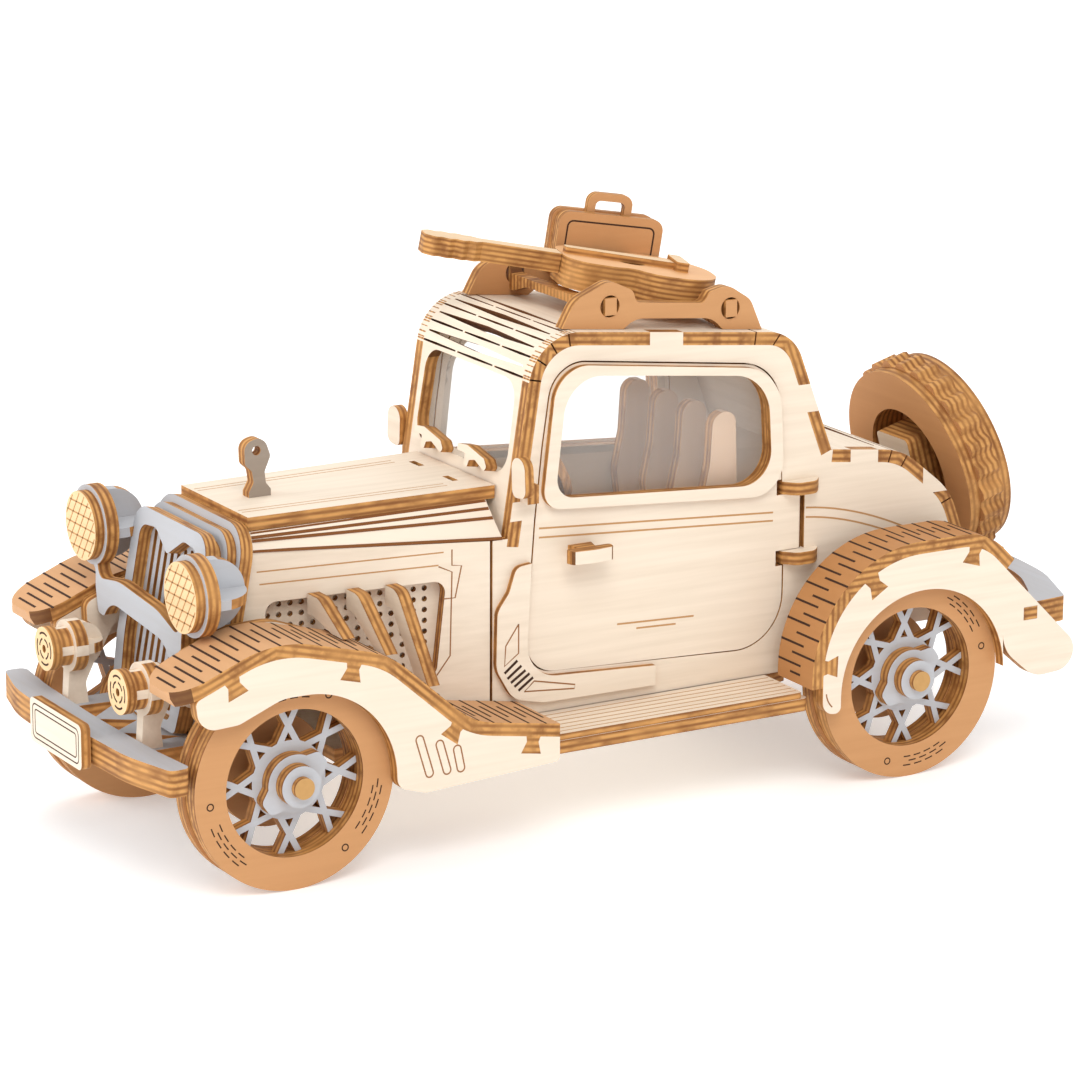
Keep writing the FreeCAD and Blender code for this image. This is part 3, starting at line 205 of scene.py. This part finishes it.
def squareness(wood, normals):
    """1.0 where the surface looks straight along one of `normals`; with none, where it is parallel to X."""
    if not normals:
        sideways = wood.dot(wood.facing, X)
        return wood.maths("SQRT", wood.maths("SUBTRACT", 1.0, wood.maths("MULTIPLY", sideways, sideways)))
    square = wood.maths("ABSOLUTE", wood.dot(wood.facing, normals[0]))
    for normal in normals[1:]:
        square = wood.maths("MAXIMUM", square, wood.maths("ABSOLUTE", wood.dot(wood.facing, normal)))
    return square


def plywood(name, face, normals, grain, printed=False, thickness=2.0, across=None, path=None,
            hollow_end=False):
    """Plywood with its `face` colour where the surface looks along one of `normals`.

    `grain` is the direction of the fibres and `across` the direction in which the veneers are
    stacked.  With no `normals` the sheet is bent along `path` and only its ends along X are edges.
    """
    wood = Plywood(name)
    fibres = wood.noise(FIBRE_SCALE, 22.0, grain)
    if path:
        stack = height_above(wood, path, hollow_end)
    else:
        stack = wood.dot(wood.place, across if across is not None else normals[0])

    square = squareness(wood, normals)
    not_face = wood.maths("LESS_THAN", square, STRICT_FACE_LIMIT if len(normals) > 1 else FACE_LIMIT)
    colour = wood.mix(not_face, face_colour(wood, fibres, face, grain, printed),
                      edge_colour(wood, stack, grain, thickness))
    if len(normals) < 2:
        chamfer = wood.maths("MULTIPLY", not_face, wood.maths("GREATER_THAN", square, CHAMFER_LIMIT))
        colour = wood.mix(wood.maths("MULTIPLY", chamfer, 0.85), colour, OUTLINE)
    wood.plug(colour, wood.shader.inputs["Base Color"])
    bump = wood.nodes.new("ShaderNodeBump")
    bump.inputs["Strength"].default_value = 0.12
    bump.inputs["Distance"].default_value = 0.04 * MM
    wood.plug(fibres, bump.inputs["Height"])
    wood.plug(bump.outputs[0], wood.shader.inputs["Normal"])
    wood.shader.inputs["Roughness"].default_value = 0.6
    wood.shader.inputs["Specular IOR Level"].default_value = 0.3
    return wood.material


def turned(axis, degrees, vector):
    """A direction turned about an axis."""
    return Matrix.Rotation(math.radians(degrees), 3, axis) @ Vector(vector)


# Directions of the pieces that lean, and how far the bonnet's sides spread per mm of length.
RAKED = turned(X, -10.5, Y)
LEANING = turned(X, 16.0, Y)
GUITAR_UP = turned(Z, -17.0, turned(X, -10.6, Z))
CASE_SIDE = turned(Z, -11.0, X)
CASE_LONG = turned(Z, -11.0, turned(X, -9.0, Y))
CASE_UP = turned(Z, -11.0, turned(X, -9.0, Z))
BONNET_SLOPE = 5.0 / 38.5
BONNET_FLARE = math.degrees(math.atan(BONNET_SLOPE))

# Outlines of the bent sheets: (y, z) corners, with a radius where the kerf lines follow the bend.
# The roof's and the deck's run along the top of the sheet, the fenders' along its underside.
ROOF_PATH = [(-18.1, 43.0), (-13.2, 74.9), (32.0, 70.0), (39.3, 50.8)]
DECK_PATH = [(39.6, 50.8), (52.5, 49.2), (61.8, 41.5), (70.0, 19.5)]
FRONT_ARCH = [(-77.8, 30.3), (-63.0, 36.4, 16.0), (-46.0, 32.0, 14.0), (-32.0, 19.6, 14.0),
              (-16.5, 17.0)]
REAR_ARCH = [(29.9, 17.4), (29.9, 36.2, 17.5), (59.0, 36.2, 9.0), (63.6, 31.6)]

LOOKS = {
    plywood("cream_side", CREAM, [X], Y): (
        "body_side_left", "body_side_right", "door_left", "door_right", "door_trims_left",
        "door_trims_right", "elbow_trims", "front_fender_left", "front_fender_right",
        "rear_fender_left", "rear_fender_right", "axle_frames"),
    plywood("cream_cross", CREAM, [Y], X): (
        "firewall", "number_plate", "mirrors", "wipers", "exhaust_pipes"),
    plywood("lens_wood", LENS, [Y], X, thickness=1.5): ("lamp_lenses",),
    plywood("fog_wood", CREAM, [X, Y, Z], X, across=Y): ("fog_lamp_bodies",),
    plywood("seat_wood", SEAT, [X, Z], Z): ("seats",),
    plywood("cream_flat", CREAM, [Z], Y): (
        "chassis_floor", "running_board_treads", "bonnet_top", "hinge_leaves"),
    plywood("cream_roof", CREAM, [], X, path=ROOF_PATH): ("roof_sheet",),
    plywood("cream_deck", CREAM, [], X, path=DECK_PATH): ("deck_sheet",),
    plain("cream_strip", CREAM): ("bonnet_shoulders",),
    plywood("cream_bonnet_side", CREAM, [turned(Z, -BONNET_FLARE, X), turned(Z, BONNET_FLARE, X)], Y): (
        "bonnet_sides",),
    plywood("tan_side", TAN, [X], Y, printed=True): (
        "front_tyre_left", "front_tyre_right", "rear_tyre_left", "rear_tyre_right",
        "front_brake_discs", "rear_brake_discs", "roof_rack"),
    plywood("tan_front_bent", PALE_TAN, [], X, printed=True, path=FRONT_ARCH, hollow_end=True): (
        "front_fender_sheets",),
    plywood("tan_rear_bent", DEEP_TAN, [], X, printed=True, path=REAR_ARCH): ("rear_fender_sheets",),
    plywood("grey_side", GREY, [X], Y, printed=True): ("front_wheel_centres", "rear_wheel_centres"),
    plywood("mascot_wood", MASCOT, [X], Y): ("bonnet_mascot",),
    plywood("grey_cross", GREY, [Y], X, printed=True): ("headlamp_bracket", "steering_wheel"),
    plywood("grey_fins", GREY, [X, Z], Y, printed=True, thickness=1.5): ("headlamp_backs",),
    plywood("grey_flat", GREY, [Z], X, printed=True): (
        "front_bumper", "rear_bumper", "bumper_bracket"),
    plywood("grey_raked", GREY, [RAKED], X, printed=True, thickness=1.5): (
        "grille_frame", "grille_slats", "radiator_shell"),
    plywood("guitar_wood", GUITAR_TOP, [GUITAR_UP], Y, printed=True, thickness=1.5): ("guitar_body",),
    plywood("guitar_neck_wood", GUITAR_NECK, [GUITAR_UP], Y, thickness=1.5): ("guitar_neck",),
    plywood("case_wood", TAN, [CASE_SIDE], Y, printed=True, thickness=1.5): ("suitcase",),
    plywood("spare_wood", TAN, [LEANING], X, printed=True): ("spare_wheel",),
    plywood("spare_mount_wood", CREAM, [LEANING], X): ("spare_mount",),
    plywood("dowel_wood", DOWEL, [X], X): ("front_axle_dowel", "rear_axle_dowel"),
    # Painted light: the film's pale warm tint stands for sheen on the panes and for warm light inside the
    # car.
    plain("window_film", FILM_WITH_PAINTED_LIGHT, 0.08, alpha=0.11): (
        "windscreen_pane", "side_pane_left", "side_pane_right"),
}
for material, names in LOOKS.items():
    for name in names:
        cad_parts[name].data.materials.clear()
        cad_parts[name].data.materials.append(material)

BENDS = {"roof_sheet": ((-6.45, 66.12), (24.2, 63.0)), "deck_sheet": ((46.5, 37.4), (51.0, 36.0))}
BEND_REACH = 12.0


def burn_slit_walls():
    """Darkens the walls of the slits round the middles (y, z) of the roof's and the deck's bends."""
    burnt_wall = plain("burnt_wall", EDGE_DARK, 0.8)
    for name, centres in BENDS.items():
        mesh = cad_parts[name].data
        mesh.materials.append(burnt_wall)
        for centre in centres:
            middle = Vector((0, *centre)) * MM
            for face in mesh.polygons:
                outward = face.center - middle
                outward.x = 0.0
                if outward.length > BEND_REACH * MM or abs(face.normal.x) > 0.5:
                    continue
                if abs(face.normal.dot(outward.normalized())) < 0.5:
                    face.material_index = 1


CHAMFER = 0.16
NOT_BEVELLED = ("windscreen_pane", "side_pane_left", "side_pane_right", "front_axle_dowel",
                "rear_axle_dowel", "roof_sheet", "deck_sheet")


def chamfer_plates():
    """A fine chamfer that reads as the laser-burnt outline of every plate."""
    for name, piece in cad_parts.items():
        if name in NOT_BEVELLED:
            continue
        bevel = piece.modifiers.new("burnt_edge", "BEVEL")
        bevel.width = CHAMFER * MM
        bevel.segments = 1
        bevel.limit_method = "ANGLE"
        bevel.angle_limit = math.radians(40)
        bevel.use_clamp_overlap = True


burn_slit_walls()
chamfer_plates()


# ---------------------------------------------------------------- engraved lines
char_line = plain("char_line", CHAR, 0.9)
score_line = plain("score_line", SCORE, 0.9)
fine_line = plain("fine_line", FINE_LINE, 0.9)
# How far a strip stands out of its surface, and how far it goes in.
LIFT, SINK = 0.02, 0.06


def engrave(name, body, material, strokes, width=0.28):
    """Thin closed strips lying on a surface.  Each stroke is (points, surface normal)."""
    vertices, faces = [], []
    for points, normal in strokes:
        points = [Vector(p) * MM for p in points]
        start = len(vertices)
        for i, point in enumerate(points):
            run = points[min(i + 1, len(points) - 1)] - points[max(i - 1, 0)]
            side = run.cross(normal).normalized() * width * MM / 2
            for rise in (LIFT * MM, -SINK * MM):
                vertices += [point + normal * rise + side, point + normal * rise - side]
        for i in range(len(points) - 1):
            a, b = start + 4 * i, start + 4 * (i + 1)
            faces += [(a, b, b + 1, a + 1), (a + 2, a + 3, b + 3, b + 2),
                      (a, a + 2, b + 2, b), (a + 1, b + 1, b + 3, a + 3)]
        last = start + 4 * (len(points) - 1)
        faces += [(start, start + 1, start + 3, start + 2), (last, last + 2, last + 3, last + 1)]
    mesh = bpy.data.meshes.new(name)
    mesh.from_pydata(vertices, [], faces)
    mesh.materials.append(material)
    piece = bpy.data.objects.new(name, mesh)
    bpy.context.collection.objects.link(piece)
    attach(piece, body)


def on_side(x, outline, side):
    """A stroke on a plane that faces sideways, from (y, z) points."""
    return [(side * x, y, z) for y, z in outline], X * side


def ring(a, b, radius, start, end, steps):
    """Points of an arc round (a, b) in a plane, from one angle to another in degrees."""
    angles = [math.radians(start + (end - start) * i / steps) for i in range(steps + 1)]
    return [(a + radius * math.cos(t), b + radius * math.sin(t)) for t in angles]


def bow(start, pull, end, steps=10):
    """Points of a smooth curve from start to end, drawn towards `pull`."""
    a, b, c = Vector(start), Vector(pull), Vector(end)
    return [tuple(a.lerp(b, t / steps).lerp(b.lerp(c, t / steps), t / steps)) for t in range(steps + 1)]


def capsule(start, end, radius):
    """Long rounded outline round two points."""
    angle = math.degrees(math.atan2(end[1] - start[1], end[0] - start[0]))
    outline = ring(*end, radius, angle - 90, angle + 90, 8)
    outline += ring(*start, radius, angle + 90, angle + 270, 8)
    return outline + outline[:1]


def rounded_box(low, high, radius):
    """Closed rectangle with round corners."""
    (a1, b1), (a2, b2) = low, high
    centres = ((a2 - radius, b2 - radius), (a1 + radius, b2 - radius),
               (a1 + radius, b1 + radius), (a2 - radius, b1 + radius))
    outline = []
    for quarter, (a, b) in enumerate(centres):
        outline += ring(a, b, radius, 90 * quarter, 90 * quarter + 90, 5)
    return outline + outline[:1]


ARC_STEPS = 12


def bent_stations(corners, lift, spacing):
    """Points and normals (y, z) at even spacing along a rounded path, `lift` above it."""
    dense = []
    for i, corner in enumerate(corners):
        here = Vector(corner[:2])
        if len(corner) < 3:
            dense.append(here)
            continue
        back, ahead = (Vector(corners[i - 1][:2]) - here), (Vector(corners[i + 1][:2]) - here)
        back.normalize()
        ahead.normalize()
        opening = back.angle(ahead)
        middle = here + (back + ahead).normalized() * corner[2] / math.sin(opening / 2)
        spoke = here + back * corner[2] / math.tan(opening / 2) - middle
        sweep = math.copysign(math.pi - opening, spoke.y * back.x - spoke.x * back.y)
        for k in range(ARC_STEPS + 1):
            dense.append(middle + Matrix.Rotation(sweep * k / ARC_STEPS, 2) @ spoke)
    stations, travelled, due = [], 0.0, spacing
    for a, b in zip(dense, dense[1:]):
        length = (b - a).length
        while length > 0 and travelled + length >= due:
            step = (b - a).normalized()
            up = Vector((-step.y, step.x))
            stations.append((a + step * (due - travelled) + up * lift, up))
            due += spacing
        travelled += length
    return stations


def highest(node):
    """The highest corner of a CAD node's box."""
    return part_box(node)[1] / MM


def lowest(node):
    """The lowest corner of a CAD node's box."""
    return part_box(node)[0] / MM


FENDER_FACE = highest("front_fender_left").x
BODY_FACE = highest("body_side_left").x
TRIM_FACE = highest("elbow_trims").x
# A sheet's thickness, the kerf lines' clearance above it, and how far from an edge they stop.
PLY, CLEAR, INDENT = 2.0, 0.03, 3.4
# For each bent sheet: its end of the car, outline, inner edge and the kerf lines' spacing.
FENDER_SHEETS = (("front", FRONT_ARCH, 17.3, 1.5), ("rear", REAR_ARCH, 20.5, 1.4))


def engrave_fender_sheets():
    """Kerf lines across the bent sheets, cut in from the inner and the outer edge by turns."""
    for end, arch, inner, spacing in FENDER_SHEETS:
        kerfs = []
        for i, (point, up) in enumerate(bent_stations(arch, PLY + CLEAR, spacing)):
            span = (inner, FENDER_FACE - INDENT) if i % 2 else (inner + INDENT, FENDER_FACE)
            if i == 0:
                span = (inner + INDENT, FENDER_FACE - INDENT)
            for _, side in SIDES:
                ends = [(side * x, point.x, point.y) for x in span]
                kerfs.append((ends, Vector((0, up.x, up.y))))
        engrave(end + "_fender_kerfs", "car", char_line, kerfs, 0.34)


DOOR_LINES = (
    [(-12.6, 45.1), (28.8, 42.2)], [(-12.6, 43.7), (28.8, 40.9)],
    [(1.1, 28.4), (14.7, 27.8)], [(4.5, 27.3), (11.5, 27.0)])
QUARTER_LINES = (
    bow((34.8, 42.2), (43.5, 41.4), (53.4, 36.7)), bow((34.8, 40.7), (43.0, 39.9), (52.6, 35.4)))
ELBOW_LOUVRES = (
    [(-19.0, 23.9), (-16.8, 25.6)], [(-18.5, 23.0), (-16.1, 24.7)], [(-17.9, 22.3), (-15.4, 23.9)],
    [(-17.3, 21.6), (-14.7, 23.3)], [(-16.6, 20.9), (-14.1, 22.6)])
ELBOW_OUTLINES = (
    [(-16.6, 31.2), (-16.6, 26.7), (-19.0, 25.0), (-18.8, 28.1), (-16.6, 31.2)],
    [(-13.9, 22.0), (-6.8, 20.4), (-6.9, 19.8), (-15.6, 20.6), (-13.9, 22.0)])
# Three upright vents behind the front wheel, and a short bow at the foot of the rear fender.
FENDER_LINES = (
    capsule((-40.0, 20.2), (-38.4, 14.9), 0.62), capsule((-36.7, 19.0), (-35.5, 14.9), 0.62),
    capsule((-33.8, 17.8), (-33.2, 14.9), 0.62), bow((30.5, 16.4), (30.6, 15.2), (31.6, 14.2), 5))


def engrave_sides():
    """Lines on the doors, the rear quarters, the elbow trims and the fender faces."""
    for name, side in SIDES:
        stripes = [on_side(BODY_FACE, line, side) for line in DOOR_LINES]
        engrave("door_score_" + name, name + "_door", score_line, stripes)
        tails = [on_side(BODY_FACE, line, side) for line in QUARTER_LINES]
        engrave("body_score_" + name, "car", score_line, tails)
        dark = [on_side(TRIM_FACE, line, side) for line in ELBOW_LOUVRES]
        engrave("elbow_louvres_" + name, "car", char_line, dark, 0.42)
        fine = [on_side(TRIM_FACE, line, side) for line in ELBOW_OUTLINES]
        fine += [on_side(FENDER_FACE, line, side) for line in FENDER_LINES]
        engrave("panel_outlines_" + name, "car", fine_line, fine, 0.22)


RIVET_PATH, RIVET_RADIUS = 13.6, 0.5
# The bricks' rows are radii; their pitch, length and distance from the rivet are in degrees.
BRICK_ROWS, BRICKS, BRICK_PITCH, BRICK_LENGTH = (12.8, 13.5, 14.2), 4, 8.4, 5.6
RIVET_TO_BRICKS = 13.0


def engrave_tyres():
    """Three rivets on each tyre, each followed by a patch of bricks."""
    tyre_face = highest("front_tyre_left").x
    for end, first_rivet in (("front", 66.0), ("rear", 13.0)):
        low, high = lowest(end + "_tyre_left").y, highest(end + "_tyre_left").y
        axle, height = (low + high) / 2, (high - low) / 2
        marks = []
        for _, side in SIDES:
            for rivet in (first_rivet, first_rivet + 120.0, first_rivet + 240.0):
                y = axle + RIVET_PATH * math.cos(math.radians(rivet))
                z = height + RIVET_PATH * math.sin(math.radians(rivet))
                marks.append(on_side(tyre_face, ring(y, z, RIVET_RADIUS, 0, 360, 14), side))
                for row, radius in enumerate(BRICK_ROWS):
                    for brick in range(BRICKS):
                        start = rivet + RIVET_TO_BRICKS + BRICK_PITCH * (brick + row % 2 / 2)
                        arc = ring(axle, height, radius, start, start + BRICK_LENGTH, 4)
                        marks.append(on_side(tyre_face, arc, side))
        engrave(end + "_tyre_marks", end + "_wheels", char_line, marks, 0.2)


# The headlamps sit on a bracket that is tilted by LAMP_TILT degrees, the left one lower.
LAMP_SPREAD, LAMP_HEIGHT, LAMP_TILT, LAMP_FACE = 16.7, 44.0, 5.0, -71.4
GRID_RADIUS, SHORTEST = 4.9, 0.8
FOG_SPREAD, FOG_HEIGHT = 12.6, 28.7


def headlamp_grid(centre):
    """Two crossing sets of lines within a round lens."""
    lines = []
    for angle, pitch in ((55.0, 1.5), (0.0, 1.7)):
        along = Vector((math.cos(math.radians(angle)), 0, math.sin(math.radians(angle))))
        across = Vector((-along.z, 0, along.x))
        for i in range(-3, 4):
            half = math.sqrt(max(GRID_RADIUS ** 2 - (i * pitch) ** 2, 0.0))
            if half > SHORTEST:
                middle = centre + across * i * pitch
                lines.append(([middle - along * half, middle + along * half], -Y))
    return lines


def engrave_lamps():
    """The headlamps' grids and the fog lamps' broken rings."""
    fog_face = lowest("lamp_lenses").y
    grid, arcs = [], []
    for _, side in SIDES:
        x = side * LAMP_SPREAD * math.cos(math.radians(LAMP_TILT))
        z = LAMP_HEIGHT - side * LAMP_SPREAD * math.sin(math.radians(LAMP_TILT))
        grid += headlamp_grid(Vector((x, LAMP_FACE, z)))
        for radius, start in ((1.5, 20.0), (2.4, 65.0)):
            for quarter in range(4):
                first = start + 90 * quarter
                arc = ring(side * FOG_SPREAD, FOG_HEIGHT, radius, first, first + 62, 8)
                arcs.append(([(a, fog_face, b) for a, b in arc], -Y))
    engrave("headlamp_grid", "car", score_line, grid, 0.24)
    engrave("fog_lamp_arcs", "car", char_line, arcs, 0.3)


def engrave_number_plate():
    """A plain double border: margins from the plate's edges, and corner radius."""
    low, high = lowest("number_plate"), highest("number_plate")
    borders = []
    for margin_x, margin_z, radius in ((0.9, 0.8, 0.9), (1.7, 1.6, 0.5)):
        border = rounded_box((low.x + margin_x, low.z + margin_z),
                             (high.x - margin_x, high.z - margin_z), radius)
        borders.append(([(a, low.y, b) for a, b in border], -Y))
    engrave("number_plate_border", "car", char_line, borders, 0.2)


# The bonnet sides' front end, and their distance from the middle there.
BONNET_FRONT, BONNET_HALF = -59.0, 12.0
# The shoulder strips' burnt edges: (distance from the middle, height) at the radiator and at the cowl.
SHOULDER_EDGES = (((11.35, 49.05), (12.0, 49.05)), ((11.75, 48.4), (13.0, 48.1)),
                  ((11.95, 47.95), (14.25, 46.95)), ((12.25, 46.5), (17.05, 44.45)))
VENT_RULES = ([(-57.0, 43.3), (-28.2, 43.3)], [(-56.6, 41.4), (-29.0, 41.4)])
COWL_OUTLINES = (
    [(-26.9, 43.6), (-26.9, 41.2), (-25.4, 41.0), (-26.4, 36.2), (-28.4, 36.2)],
    [(-29.0, 41.2), (-26.9, 40.2), (-27.2, 27.4), (-29.3, 24.6)])


def on_bonnet(outline, side):
    """A stroke on the flared bonnet side, from (y, z) points."""
    points = [(side * (BONNET_HALF + (y - BONNET_FRONT) * BONNET_SLOPE), y, z) for y, z in outline]
    return points, Vector((side, -BONNET_SLOPE, 0)).normalized()


def engrave_bonnet():
    """Rules on the bonnet's top, the shoulders' burnt edges and the outlines on its sides."""
    top = highest("bonnet_top").z
    rules, edges, panels, rims = [], [], [], []
    for _, side in SIDES:
        for x in (7.2, 8.4):
            rules.append(([(side * (x - 0.6), -57.0, top), (side * (x + 0.3), -23.5, top)], Z))
        for front_end, cowl_end in SHOULDER_EDGES:
            ends = [(side * front_end[0], -57.5, front_end[1]), (side * cowl_end[0], -18.9, cowl_end[1])]
            edges.append((ends, Vector((side * 0.7, 0, 0.7))))
        panels += [on_bonnet(line, side) for line in VENT_RULES]
        rims += [on_bonnet(line, side) for line in COWL_OUTLINES]
    engrave("bonnet_rules", "car", score_line, rules, 0.2)
    engrave("shoulder_edges", "car", plain("strip_edge", EDGE_DARK, 0.9), edges, 0.5)
    engrave("bonnet_score", "car", score_line, panels, 0.22)
    engrave("cowl_outline", "car", fine_line, rims, 0.22)


def engrave_running_boards():
    """Six grooves along each tread plate."""
    top = highest("running_board_treads").z
    grooves = []
    for _, side in SIDES:
        for x in (18.8, 20.4, 22.0, 23.6, 25.2, 26.6):
            grooves.append(([(side * x, -15.8, top), (side * x, 27.2, top)], Z))
    engrave("running_board_grooves", "car", score_line, grooves, 0.24)


def engrave_suitcase():
    """A line just inside the suitcase's outline, on the side that faces left."""
    base = Vector((-8.9, 12.9, 76.0)) + CASE_SIDE * 2.5
    inset = [base + CASE_LONG * a + CASE_UP * b for a, b in rounded_box((-7.1, 1.2), (7.1, 8.4), 0.9)]
    engrave("suitcase_outline", "car", char_line, [(inset, CASE_SIDE)], 0.26)


engrave_fender_sheets()
engrave_sides()
engrave_tyres()
engrave_lamps()
engrave_number_plate()
engrave_bonnet()
engrave_running_boards()
engrave_suitcase()


# ---------------------------------------------------------------- floor, light and camera, in metres
def white_floor(half):
    """A square floor that stays white under the lights."""
    mesh = bpy.data.meshes.new("floor")
    corners = [(-half, -half, 0), (half, -half, 0), (half, half, 0), (-half, half, 0)]
    mesh.from_pydata(corners, [], [(0, 1, 2, 3)])
    floor = bpy.data.objects.new("floor", mesh)
    bpy.context.collection.objects.link(floor)
    paper, shader = new_material("floor_paper")
    shader.inputs["Base Color"].default_value = (0.9, 0.9, 0.9, 1.0)
    shader.inputs["Roughness"].default_value = 0.9
    shader.inputs["Emission Color"].default_value = (1.0, 1.0, 1.0, 1.0)
    shader.inputs["Emission Strength"].default_value = 0.3
    mesh.materials.append(paper)
    return floor


def white_surroundings(strength):
    """Even light from all round."""
    world = bpy.data.worlds.new("studio")
    bpy.context.scene.world = world
    world.use_nodes = True
    background = world.node_tree.nodes["Background"]
    background.inputs[0].default_value = (1.0, 1.0, 1.0, 1.0)
    background.inputs[1].default_value = strength


def area_light(name, place, size, power, colour=(1, 1, 1)):
    """Round lamp aimed at the middle of the car."""
    data = bpy.data.lights.new(name, "AREA")
    data.shape = "DISK"
    data.size = size
    data.energy = power
    data.color = colour
    light = bpy.data.objects.new(name, data)
    light.location = place
    light.rotation_euler = (Vector((0, 0, 0.04)) - Vector(place)).to_track_quat("-Z", "Y").to_euler()
    bpy.context.collection.objects.link(light)


def main_camera(place, aim, lens, roll):
    """Camera at `place` that looks at `aim`, turned by `roll` degrees about its own view."""
    data = bpy.data.cameras.new("camera")
    data.sensor_width = 36.0
    data.lens = lens
    data.clip_start = 0.01
    camera = bpy.data.objects.new("camera", data)
    camera.location = place
    turn = (Vector(aim) - camera.location).to_track_quat("-Z", "Y").to_matrix()
    camera.rotation_euler = (turn @ Matrix.Rotation(math.radians(roll), 3, "Z")).to_euler()
    bpy.context.collection.objects.link(camera)
    bpy.context.scene.camera = camera


floor = white_floor(3.0)
white_surroundings(0.72)
area_light("key", (0.75, -0.35, 0.95), 0.7, 6.6, (1.0, 0.985, 0.96))
area_light("front", (-0.35, -0.95, 0.45), 0.8, 4.5)
area_light("back", (-0.6, 0.7, 0.8), 0.9, 3.6)
main_camera((0.58286, -0.34521, 0.22015), (0.0, -0.00241, 0.038), 153.06, 0.249)
bpy.context.scene.view_settings.view_transform = "Standard"
